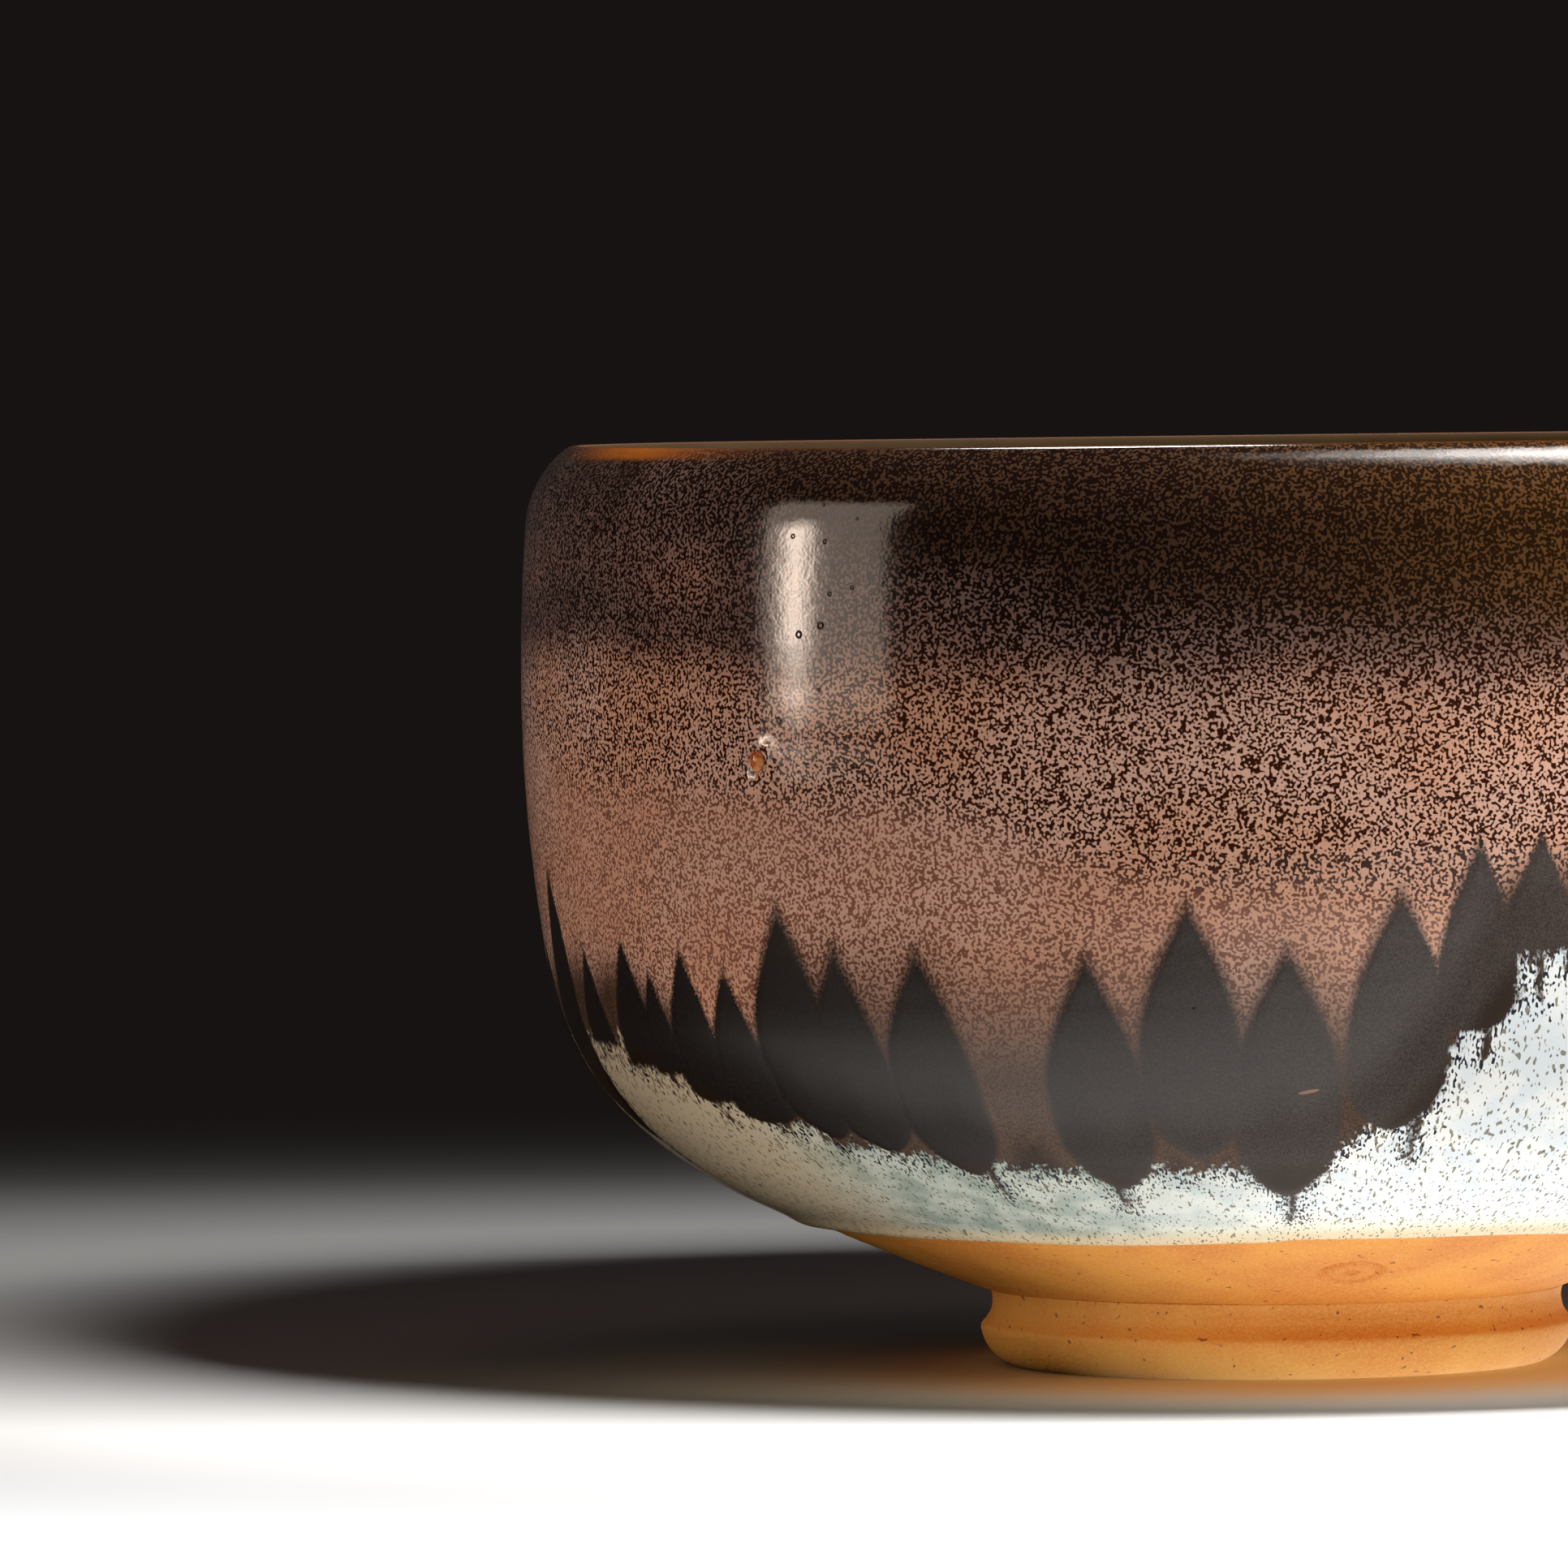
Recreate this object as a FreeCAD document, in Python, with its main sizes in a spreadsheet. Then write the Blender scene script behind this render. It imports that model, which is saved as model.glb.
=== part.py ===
"""Matcha bowl (chawan): a thrown stoneware bowl with a luted foot ring and the glaze coats laid over it.

Millimetres and degrees. +Z is up along the bowl's axis. The origin is the centre of the circle that the
foot stands on. Azimuths are counted from -Y, the side that faces a drinker, and grow towards +X.
"""
import FreeCAD, Part
import math
import os
import Sketcher

from FreeCAD import Rotation, Vector

# Driving dimensions. "bend" is the radius of an arc in the outline, "turn" is how many degrees it sweeps.
SIZES = {
    # outside of the clay, from its widest point up to the lip and down to the foot
    "max_radius": 59.6,
    "widest_height": 55.4,
    "wall_bend": 140,
    "wall_rise_turn": 5,
    "wall_drop_turn": 10,
    "shoulder_bend": 8,
    "knee_bend": 18.3,
    "knee_turn": 36,
    "hip_bend": 40.6,
    "hip_turn": 19,
    "underside_bend": 220,
    # lip and inside of the clay
    "lip_height": 73.4,
    "wall_thickness": 4.2,
    "inner_hip_turn": 34,
    "floor_bend": 150,
    "floor_turn": 5,
    "pool_brow_bend": 6,
    "pool_height": 11.4,
    # glaze coats
    "glaze_thickness": 0.4,
    "glaze_run_turn": 1.0,
    "shoulder_glaze_turn": 33,
    "leaf_thickness": 0.15,
    "leaf_half_width": 3.9,
    # foot ring
    "foot_height": 6.05,
    "foot_top_radius": 22.95,
    "foot_neck_bend": 2.4,
    "foot_flare_radius": 23.75,
    "foot_flare_height": 3.2,
    "foot_flare_bend": 3.6,
    "foot_stand_radius": 21.3,
    "foot_stand_width": 2.5,
    "foot_chamfer": 1.2,
    "foot_inner_radius": 17.4,
    # potter's seal, a plain ring and dot
    "seal_azimuth": 11,
    "seal_distance": 30.6,
    "seal_radius": 2.3,
    "seal_groove": 0.45,
    "seal_dot": 0.6,
    # melted feldspar bead
    "bead_azimuth": -41.3,
    "bead_height": 49.7,
    "bead_radius": 0.7,
    "bead_rise": 0.36,
}

# Leaves: azimuth, height of the upper tip, height of the lower tip.
FRONT_LEAVES = [
    (-68.0, 35.0, 25.0), (-62.0, 36.0, 24.0), (-56.7, 33.7, 23.5), (-52.0, 35.4, 22.5), (-46.9, 34.0, 21.5),
    (-40.8, 38.9, 20.5), (-35.0, 35.9, 19.5), (-27.5, 35.8, 17.0), (-14.4, 35.4, 16.0), (-6.3, 39.3, 18.0),
    (1.0, 36.0, 15.0), (9.3, 40.2, 19.5), (15.2, 44.0, 27.0), (20.2, 44.6, 31.5), (27.0, 41.0, 29.0),
]
BACK_LEAF_COUNT = 35
BACK_LEAF_START = 32.8
BACK_LEAF_END = 284.5
# Behind, every third leaf stands higher, and all drift up and down a little.
BACK_LEAF_TIP = 36.0
BACK_LEAF_TAIL = 19.5
BACK_LEAF_LIFT = 3.6
BACK_LEAF_DRIFT = 1.5
BACK_LEAF_WAVE = 1.7
# Narrowest gap between two leaves, and where between tail and tip a leaf is widest.
LEAF_GAP = 0.25
LEAF_WIDEST = 0.45
# Radius of the belly where neighbouring leaves come closest.
LEAF_ROOM_RADIUS = 53.6


class Size:
    """A length or an angle: its value now, and the sheet expression that keeps it up to date."""

    def __init__(self, value, text):
        self.value = value
        self.text = text

    def __add__(self, other):
        return Size(self.value + other.value, f"{self.text} + {other.text}")

    def __sub__(self, other):
        return Size(self.value - other.value, f"{self.text} - ({other.text})")


def size(alias):
    """The sheet's cell of that name."""
    return Size(float(SIZES[alias]), f"Sizes.{alias}")


def make_sheet(document):
    """Puts every driving dimension in its own named cell."""
    sheet = document.addObject("Spreadsheet::Sheet", "Sizes")
    for row, (alias, value) in enumerate(SIZES.items(), start=1):
        sheet.set(f"A{row}", alias)
        sheet.set(f"B{row}", str(value))
        sheet.setAlias(f"B{row}", alias)
    document.recompute()


def make_body(document, name):
    """A PartDesign body whose Label names its file."""
    body = document.addObject("PartDesign::Body", name)
    body.Label = name
    return body


def make_sketch(body, name, role="XZ_Plane"):
    """An empty sketch on one of the body's own origin planes. On XZ its axes are +X and +Z."""
    sketch = body.newObject("Sketcher::SketchObject", name)
    plane = next(item for item in body.Origin.OriginFeatures if item.Role == role)
    sketch.AttachmentSupport = [(plane, "")]
    sketch.MapMode = "FlatFace"
    return sketch


def constrain(sketch, kind, geometry, amount, radians=False):
    """Adds a dimension and binds it to the sheet."""
    value = math.radians(amount.value) if radians else amount.value
    number = sketch.addConstraint(Sketcher.Constraint(kind, *geometry, value))
    sketch.setExpression(f"Constraints[{number}]", amount.text)


def pin(sketch, geometry, end, across, up):
    """Holds one point of a sketch at a distance from the axis and a height."""
    constrain(sketch, "DistanceX", (-1, 1, geometry, end), across)
    constrain(sketch, "DistanceY", (-1, 1, geometry, end), up)


class Outline:
    """Tangent arcs drawn one after another from the bowl's widest point, where the wall is upright.

    direction is 1 when the outline climbs from there and -1 when it drops. offset is added to each bend
    that curves around the bowl's inside, and taken from one that curves the other way.
    """

    def __init__(self, sketch, across, up, direction):
        self.sketch = sketch
        self.across = across
        self.up = up
        self.point = Vector(across.value, up.value, 0)
        self.heading = math.radians(90 * direction)
        self.direction = direction
        self.last = None
        self.starts = []

    def arc(self, bend, turn=None, guess=10.0, helper=False, outward=False, free_bend=False):
        """Adds an arc of this bend. Without a turn its far end is left for other constraints to fix."""
        side = -self.direction if outward else self.direction
        swept = math.radians(turn.value if turn else guess)
        to_centre = self.heading + side * math.pi / 2
        centre = self.point + Vector(math.cos(to_centre), math.sin(to_centre), 0) * bend.value
        start = math.atan2(self.point.y - centre.y, self.point.x - centre.x)
        low, high = (start, start + swept) if side > 0 else (start - swept, start)
        circle = Part.Circle(centre, Vector(0, 0, 1), bend.value)
        number = self.sketch.addGeometry(Part.ArcOfCircle(circle, low, high), helper)
        near, far = (1, 2) if side > 0 else (2, 1)
        if self.last is None:
            pin(self.sketch, number, near, self.across, self.up)
            self.sketch.addConstraint(Sketcher.Constraint("Horizontal", number, 3, number, near))
        else:
            self.sketch.addConstraint(Sketcher.Constraint("Tangent", *self.last, number, near))
        if not free_bend:
            constrain(self.sketch, "Radius", (number,), bend)
        if turn:
            constrain(self.sketch, "Angle", (number,), turn, radians=True)
        end = start + side * swept
        self.point = centre + Vector(math.cos(end), math.sin(end), 0) * bend.value
        self.heading += side * swept
        self.last = (number, far)
        self.starts.append((number, near))
        return number


def join(sketch, first, second):
    """A straight line between two points of the sketch, each given as geometry number and end."""
    points = [sketch.getPoint(*first), sketch.getPoint(*second)]
    line = sketch.addGeometry(Part.LineSegment(*points), False)
    sketch.addConstraint(Sketcher.Constraint("Coincident", line, 1, *first))
    sketch.addConstraint(Sketcher.Constraint("Coincident", line, 2, *second))
    return line


def revolve(document, body, sketch):
    """Turns the sketch once around the bowl's axis."""
    turned = body.newObject("PartDesign::Revolution", sketch.Name + "_turned")
    turned.Profile = sketch
    turned.ReferenceAxis = (sketch, ["V_Axis"])
    turned.Angle = 360
    sketch.Visibility = False
    document.recompute()
    return turned


def outer_start(sketch, coat, direction):
    """Outline of the outside at the widest point, coat millimetres outside the clay."""
    return Outline(sketch, size("max_radius") + coat, size("widest_height"), direction)


def inner_start(sketch, coat, direction):
    """Outline of the inside at the height of the widest point, coat millimetres inside the clay."""
    across = size("max_radius") - (size("wall_thickness") + coat)
    return Outline(sketch, across, size("widest_height"), direction)


def inner_bend(alias, coat):
    """Bend of an inside arc that shares its centre with the outside arc of that name."""
    return size(alias) - (size("wall_thickness") + coat)


NO_COAT = Size(0.0, "0")
COAT = size("glaze_thickness")
LEAF_COAT = size("glaze_thickness") + size("leaf_thickness")

# How far outside the wall a cutting bar starts.
CUTTER_CLEARANCE = 10.0

# Where the solver starts looking for the two bends that follow from the rest of the outline.
LIP_GUESS = 1.4
POOL_GUESS = 85.0


def hold_top(sketch, lip, height):
    """Sets how high an arc of the sketch reaches."""
    centre = sketch.getPoint(lip, 3)
    top = sketch.addGeometry(Part.Point(centre + Vector(0, LIP_GUESS, 0)), True)
    sketch.addConstraint(Sketcher.Constraint("PointOnObject", top, 1, lip))
    sketch.addConstraint(Sketcher.Constraint("Vertical", top, 1, lip, 3))
    constrain(sketch, "DistanceY", (-1, 1, top, 1), height)


def draw_lip(sketch, coat, helpers=()):
    """Wall above the widest point, shoulder, lip and the top of the inside, coat millimetres off the clay.

    The shoulder is two arcs that meet where the lip's own glaze begins. helpers names the stretches that
    only hold the others in place: wall, lip or inside. Returns the outside outline and the inside one.
    """
    wall_helper = "wall" in helpers
    lip_helper = "lip" in helpers
    outside = outer_start(sketch, coat, 1)
    outside.arc(size("wall_bend") + coat, size("wall_rise_turn"), helper=wall_helper)
    outside.arc(size("shoulder_bend") + coat, size("shoulder_glaze_turn"), helper=wall_helper)
    outside.arc(size("shoulder_bend") + coat, guess=6, helper=lip_helper)
    lip_guess = Size(LIP_GUESS + coat.value, "")
    outside.arc(lip_guess, guess=130, helper=lip_helper, free_bend=True)
    inside = inner_start(sketch, coat, 1)
    inside.arc(inner_bend("wall_bend", coat), guess=7, helper="inside" in helpers)
    sketch.addConstraint(Sketcher.Constraint("Tangent", *outside.last, *inside.last))
    hold_top(sketch, outside.last[0], size("lip_height") + coat)
    return outside, inside


def draw_inside(sketch, coat):
    """Inside of the bowl below its widest point: wall, knee, hip, floor and the tea pool in the middle."""
    inside = inner_start(sketch, coat, -1)
    inside.arc(inner_bend("wall_bend", coat), size("wall_drop_turn"))
    inside.arc(inner_bend("knee_bend", coat), size("knee_turn"))
    inside.arc(inner_bend("hip_bend", coat), size("inner_hip_turn"))
    inside.arc(size("floor_bend") - coat, size("floor_turn"))
    inside.arc(size("pool_brow_bend") + coat, guess=6, outward=True)
    pool_guess = Size(POOL_GUESS, "")
    pool = inside.arc(pool_guess, guess=11, free_bend=True)
    sketch.addConstraint(Sketcher.Constraint("PointOnObject", pool, 3, -2))
    sketch.addConstraint(Sketcher.Constraint("PointOnObject", *inside.last, -2))
    constrain(sketch, "DistanceY", (-1, 1, *inside.last), size("pool_height") + coat)
    return inside


def make_clay_body(document):
    """Thrown wall, belly and floor, flat underneath where the foot ring is luted on, with the seal."""
    body = make_body(document, "clay_body")
    sketch = make_sketch(body, "clay_outline")
    draw_lip(sketch, NO_COAT)
    inside = draw_inside(sketch, NO_COAT)
    outside = outer_start(sketch, NO_COAT, -1)
    outside.arc(size("wall_bend"), size("wall_drop_turn"))
    outside.arc(size("knee_bend"), size("knee_turn"))
    outside.arc(size("hip_bend"), size("hip_turn"))
    underside = outside.arc(size("underside_bend"), guess=6)
    constrain(sketch, "DistanceY", (-1, 1, *outside.last), size("foot_height"))
    base = Vector(0, size("foot_height").value, 0)
    flat = sketch.addGeometry(Part.LineSegment(sketch.getPoint(*outside.last), base), False)
    sketch.addConstraint(Sketcher.Constraint("Coincident", flat, 1, *outside.last))
    sketch.addConstraint(Sketcher.Constraint("Horizontal", flat))
    sketch.addConstraint(Sketcher.Constraint("PointOnObject", flat, 2, -2))
    join(sketch, (flat, 2), inside.last)
    revolve(document, body, sketch)
    press_seal(document, body, sketch.Geometry[underside])
    return body


def press_seal(document, body, underside):
    """Presses the potter's seal, a ring around a dot, square into the underside beside the foot."""
    before = body.Shape.Volume
    slope = math.asin((size("seal_distance").value - underside.Center.x) / underside.Radius)
    height = underside.Center.y - underside.Radius * math.cos(slope)
    around = Rotation(Vector(0, 0, 1), size("seal_azimuth").value)
    place = around.multVec(Vector(0, -size("seal_distance").value, height))
    tilt = around * Rotation(Vector(1, 0, 0), -math.degrees(slope))
    ring = body.newObject("PartDesign::SubtractiveTorus", "seal_ring")
    ring.Placement = FreeCAD.Placement(place, tilt)
    ring.setExpression("Radius1", "Sizes.seal_radius")
    ring.setExpression("Radius2", "Sizes.seal_groove")
    document.recompute()
    dot = body.newObject("PartDesign::SubtractiveSphere", "seal_dot")
    dot.Placement = FreeCAD.Placement(place, tilt)
    dot.setExpression("Radius", "Sizes.seal_dot")
    document.recompute()
    if body.Shape.Volume >= before:
        raise RuntimeError("the seal is not pressed into the clay")


def make_foot_ring(document):
    """Foot ring: waisted under the bowl, flared, rounded to the flat that it stands on, hollow inside."""
    body = make_body(document, "foot_ring")
    sketch = make_sketch(body, "foot_outline")
    top = size("foot_height")
    zero = Size(0.0, "0")
    stand_inner = size("foot_stand_radius") - size("foot_stand_width")
    corners = [
        (size("foot_inner_radius"), top),
        (size("foot_top_radius"), top),
        (size("foot_flare_radius"), size("foot_flare_height")),
        (size("foot_stand_radius"), zero),
        (stand_inner, zero),
        (size("foot_inner_radius"), size("foot_chamfer")),
    ]
    points = [Vector(across.value, up.value, 0) for across, up in corners]
    neck = bulge(sketch, points[2], points[1], size("foot_neck_bend").value, hollow=True)
    flare = bulge(sketch, points[3], points[2], size("foot_flare_bend").value, hollow=False)
    constrain(sketch, "Radius", (neck,), size("foot_neck_bend"))
    constrain(sketch, "Radius", (flare,), size("foot_flare_bend"))
    pin(sketch, neck, 1, *corners[1])
    pin(sketch, flare, 2, *corners[2])
    pin(sketch, flare, 1, *corners[3])
    sketch.addConstraint(Sketcher.Constraint("Coincident", neck, 2, flare, 2))
    stand = join_to(sketch, (flare, 1), points[4], corners[4])
    chamfer = join_to(sketch, (stand, 2), points[5], corners[5])
    inner_wall = join_to(sketch, (chamfer, 2), points[0], corners[0])
    join(sketch, (inner_wall, 2), (neck, 1))
    revolve(document, body, sketch)
    return body


def bulge(sketch, low, high, bend, hollow):
    """An arc between two points, bulging away from the axis, or towards it when hollow."""
    middle = (low + high) * 0.5
    along = high - low
    square = Vector(along.y, -along.x, 0).normalize()
    reach = math.sqrt(bend ** 2 - (along.Length / 2) ** 2)
    centre = middle + square * (reach if hollow else -reach)
    angles = [math.atan2(point.y - centre.y, point.x - centre.x) for point in (low, high)]
    first, last = (angles[1], angles[0]) if hollow else (angles[0], angles[1])
    if last < first:
        last += 2 * math.pi
    circle = Part.Circle(centre, Vector(0, 0, 1), bend)
    return sketch.addGeometry(Part.ArcOfCircle(circle, first, last), False)


def join_to(sketch, start, point, corner):
    """A straight line from a point already drawn to a corner held by the sheet."""
    line = sketch.addGeometry(Part.LineSegment(sketch.getPoint(*start), point), False)
    sketch.addConstraint(Sketcher.Constraint("Coincident", line, 1, *start))
    pin(sketch, line, 2, *corner)
    return line


def make_inner_glaze(document):
    """Liner coat of the inside, up to the inner edge of the lip."""
    body = make_body(document, "inner_glaze")
    sketch = make_sketch(body, "liner_outline")
    _, clay_top = draw_lip(sketch, NO_COAT, helpers=("wall", "lip"))
    _, coat_top = draw_lip(sketch, COAT, helpers=("wall", "lip"))
    clay_floor = draw_inside(sketch, NO_COAT)
    coat_floor = draw_inside(sketch, COAT)
    join(sketch, clay_top.last, coat_top.last)
    join(sketch, clay_floor.last, coat_floor.last)
    revolve(document, body, sketch)
    return body


def make_lip_glaze(document):
    """Amber coat over the lip, from the shoulder outside to the top of the liner inside."""
    body = make_body(document, "lip_glaze")
    sketch = make_sketch(body, "lip_outline")
    clay, _ = draw_lip(sketch, NO_COAT, helpers=("wall", "inside"))
    coat, _ = draw_lip(sketch, COAT, helpers=("wall", "inside"))
    join(sketch, clay.starts[2], coat.starts[2])
    join(sketch, clay.last, coat.last)
    revolve(document, body, sketch)
    return body


def make_upper_glaze(document):
    """Dark coat of the outside wall, from the shoulder down to the turn of the belly."""
    body = make_body(document, "upper_glaze")
    sketch = make_sketch(body, "upper_outline")
    tops = []
    bottoms = []
    for coat in (NO_COAT, COAT):
        climb = outer_start(sketch, coat, 1)
        climb.arc(size("wall_bend") + coat, size("wall_rise_turn"))
        climb.arc(size("shoulder_bend") + coat, size("shoulder_glaze_turn"))
        drop = outer_start(sketch, coat, -1)
        drop.arc(size("wall_bend") + coat, size("wall_drop_turn"))
        drop.arc(size("knee_bend") + coat, size("knee_turn"))
        tops.append(climb.last)
        bottoms.append(drop.last)
    join(sketch, *tops)
    join(sketch, *bottoms)
    revolve(document, body, sketch)
    return body


def draw_belly(sketch, coat):
    """Outline of the belly from the turn of the wall to the edge where the glaze stops on bare clay."""
    drop = outer_start(sketch, coat, -1)
    drop.arc(size("wall_bend") + coat, size("wall_drop_turn"), helper=True)
    drop.arc(size("knee_bend") + coat, size("knee_turn"), helper=True)
    drop.arc(size("hip_bend") + coat, size("hip_turn"))
    drop.arc(size("underside_bend") + coat, size("glaze_run_turn"))
    return drop


def make_lower_glaze(document):
    """White ash coat round the belly."""
    body = make_body(document, "lower_glaze")
    sketch = make_sketch(body, "lower_outline")
    clay = draw_belly(sketch, NO_COAT)
    coat = draw_belly(sketch, COAT)
    join(sketch, clay.starts[2], coat.starts[2])
    join(sketch, clay.last, coat.last)
    revolve(document, body, sketch)
    return body


def make_leaf_band(document):
    """Thin band over the outer glaze that the leaves are cut from. It writes no file of its own."""
    body = make_body(document, "leaf_band")
    sketch = make_sketch(body, "band_outline")
    faces = []
    for coat in (COAT, LEAF_COAT):
        drop = outer_start(sketch, coat, -1)
        drop.arc(size("wall_bend") + coat, size("wall_drop_turn"))
        drop.arc(size("knee_bend") + coat, size("knee_turn"))
        drop.arc(size("hip_bend") + coat, size("hip_turn"))
        faces.append(drop)
    join(sketch, faces[0].starts[0], faces[1].starts[0])
    join(sketch, faces[0].last, faces[1].last)
    revolve(document, body, sketch)
    return body


def all_leaves():
    """Azimuth, tip height and tail height of every leaf around the bowl, in order of azimuth."""
    leaves = list(FRONT_LEAVES)
    step = (BACK_LEAF_END - BACK_LEAF_START) / (BACK_LEAF_COUNT - 1)
    for number in range(BACK_LEAF_COUNT):
        lift = BACK_LEAF_LIFT if number % 3 == 1 else 0.0
        drift = BACK_LEAF_DRIFT * math.sin(number * BACK_LEAF_WAVE)
        tip = BACK_LEAF_TIP + lift + drift
        tail = BACK_LEAF_TAIL - lift / 2 + drift
        leaves.append((BACK_LEAF_START + step * number, tip, tail))
    return sorted(leaves)


def leaf_prism(azimuth, tip, tail, half_width):
    """Lens-shaped bar that points at the bowl's axis and cuts one leaf from the band."""
    outside = -(size("max_radius").value + CUTTER_CLEARANCE)
    middle = tail + LEAF_WIDEST * (tip - tail)
    low = Vector(0, outside, tail)
    high = Vector(0, outside, tip)
    right = Part.Arc(low, Vector(half_width, outside, middle), high).toShape()
    left = Part.Arc(high, Vector(-half_width, outside, middle), low).toShape()
    lens = Part.Face(Part.Wire([right, left]))
    bar = lens.extrude(Vector(0, -outside / 2, 0))
    bar.rotate(Vector(0, 0, 0), Vector(0, 0, 1), azimuth)
    return bar


def make_leaf_glaze(document, band):
    """The leaves: a ring of separate dabs, unevenly spaced, so their shapes are cut one by one."""
    leaves = all_leaves()
    azimuths = [leaf[0] for leaf in leaves]
    around = [azimuths[-1] - 360] + azimuths + [azimuths[0] + 360]
    pieces = []
    for number, (azimuth, tip, tail) in enumerate(leaves, start=1):
        nearest = min(azimuth - around[number - 1], around[number + 1] - azimuth)
        room = LEAF_ROOM_RADIUS * math.radians(nearest) / 2 - LEAF_GAP / 2
        half_width = min(size("leaf_half_width").value, room)
        piece = band.Shape.common(leaf_prism(azimuth, tip, tail, half_width))
        pieces.extend(piece.Solids)
    feature = document.addObject("Part::Feature", "leaf_glaze")
    feature.Label = "leaf_glaze"
    feature.Shape = Part.makeCompound(pieces)
    return feature


def make_stone_bead(document, wall):
    """Bead of melted feldspar standing on the outer glaze, cut to the wall's curve."""
    pebble = document.addObject("Part::Ellipsoid", "pebble")
    pebble.setExpression("Radius1", "Sizes.bead_radius")
    pebble.setExpression("Radius2", "Sizes.bead_radius")
    pebble.setExpression("Radius3", "Sizes.bead_rise")
    around = Rotation(Vector(0, 0, 1), size("bead_azimuth").value)
    bend = size("wall_bend").value + COAT.value
    rise = size("bead_height").value - size("widest_height").value
    distance = size("max_radius").value - size("wall_bend").value + math.sqrt(bend ** 2 - rise ** 2)
    spot = around.multVec(Vector(0, -distance, size("bead_height").value))
    pebble.Placement = FreeCAD.Placement(spot, around)
    bead = document.addObject("Part::Cut", "stone_bead")
    bead.Label = "stone_bead"
    bead.Base = pebble
    bead.Tool = wall
    document.recompute()
    return bead


def check(document, pieces):
    """Stops before anything is written if an object failed or a piece is not a sound solid."""
    for item in document.Objects:
        faults = [state for state in item.State if state in ("Invalid", "Error")]
        if faults:
            raise RuntimeError(f"{item.Name} failed: {faults}")
    for piece in pieces:
        shape = piece.Shape
        if shape.isNull() or not shape.isValid() or shape.Volume <= 0:
            raise RuntimeError(f"{piece.Label} is not a valid solid")
        box = shape.optimalBoundingBox(True, False)
        print(f"{piece.Label}: {len(shape.Solids)} solid(s), {shape.Volume:.1f} mm3, "
              f"height {box.ZMin:.2f} to {box.ZMax:.2f}")


def main():
    """Builds the bowl and writes one STEP file for each piece."""
    document = FreeCAD.newDocument("matcha_bowl")
    make_sheet(document)
    upper_glaze = make_upper_glaze(document)
    leaf_band = make_leaf_band(document)
    pieces = [
        make_clay_body(document),
        make_foot_ring(document),
        make_inner_glaze(document),
        make_lip_glaze(document),
        upper_glaze,
        make_lower_glaze(document),
        make_leaf_glaze(document, leaf_band),
        make_stone_bead(document, upper_glaze),
    ]
    document.recompute()
    check(document, pieces)
    os.makedirs("parts", exist_ok=True)
    for piece in pieces:
        piece.Shape.exportStep(f"parts/{piece.Label}.step")


main()
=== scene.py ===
"""Looks of the matcha bowl: clay, foot ring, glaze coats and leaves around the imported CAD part.

The bowl is worked out in millimetres and written to meshes in metres. Azimuths are degrees from -Y, the side
that faces the camera, growing towards +X. Every coat lies on one outline of the clay and one set of fields
(leaves, ash, rose mottle), so neighbouring pieces agree wherever they meet.
"""
import math
import bpy
import numpy as np
from mathutils import Matrix, Quaternion, Vector


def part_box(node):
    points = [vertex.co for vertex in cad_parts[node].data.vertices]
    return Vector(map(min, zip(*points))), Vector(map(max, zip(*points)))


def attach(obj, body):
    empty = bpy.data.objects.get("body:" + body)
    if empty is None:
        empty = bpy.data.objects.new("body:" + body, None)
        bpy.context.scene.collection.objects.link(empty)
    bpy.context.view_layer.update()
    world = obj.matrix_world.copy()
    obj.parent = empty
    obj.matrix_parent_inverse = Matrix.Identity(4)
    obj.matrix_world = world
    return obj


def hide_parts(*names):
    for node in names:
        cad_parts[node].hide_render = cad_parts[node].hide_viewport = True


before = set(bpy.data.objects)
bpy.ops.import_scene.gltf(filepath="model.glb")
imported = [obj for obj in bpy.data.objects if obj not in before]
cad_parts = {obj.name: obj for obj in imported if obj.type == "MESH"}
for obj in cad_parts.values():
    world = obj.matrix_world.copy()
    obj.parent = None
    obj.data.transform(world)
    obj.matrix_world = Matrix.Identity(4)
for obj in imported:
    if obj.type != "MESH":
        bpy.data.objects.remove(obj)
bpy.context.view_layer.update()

MM = 0.001


def low_mm(node):
    """Lowest corner of a CAD node, in millimetres."""
    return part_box(node)[0] / MM


def high_mm(node):
    """Highest corner of a CAD node, in millimetres."""
    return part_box(node)[1] / MM


# ---------------------------------------------------------------- outline of the clay
CLAY_RADIUS = high_mm("clay_body").x
COAT = high_mm("lip_glaze").z - high_mm("clay_body").z
LIP_HEIGHT = high_mm("clay_body").z
FOOT_HEIGHT = high_mm("foot_ring").z
POOL_HEIGHT = low_mm("inner_glaze").z
WALL_THICKNESS = CLAY_RADIUS - high_mm("inner_glaze").x
WIDEST = 55.4
WALL_BEND, KNEE_BEND, HIP_BEND, UNDER_BEND = 140.0, 18.3, 40.6, 220.0
SHOULDER_BEND, FLOOR_BEND, BROW_BEND = 8.0, 150.0, 6.0
WALL_RISE, WALL_DROP, KNEE_TURN, HIP_TURN = 5.0, 10.0, 36.0, 19.0
INNER_HIP_TURN, FLOOR_TURN = 34.0, 5.0
LIP_JOIN_TURN = 33.0
GLAZE_RUN_TURN = 1.0
SAMPLE = 0.05


def along(angle):
    """Unit direction at an angle in degrees, in the plane of the outline."""
    turn = math.radians(angle)
    return np.array([math.cos(turn), math.sin(turn)])


def solve(function, low, high):
    """Root of a function between two ends, by halving."""
    sign = function(low) > 0
    for _ in range(60):
        middle = (low + high) / 2
        if (function(middle) > 0) == sign:
            low = middle
        else:
            high = middle
    return (low + high) / 2


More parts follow.
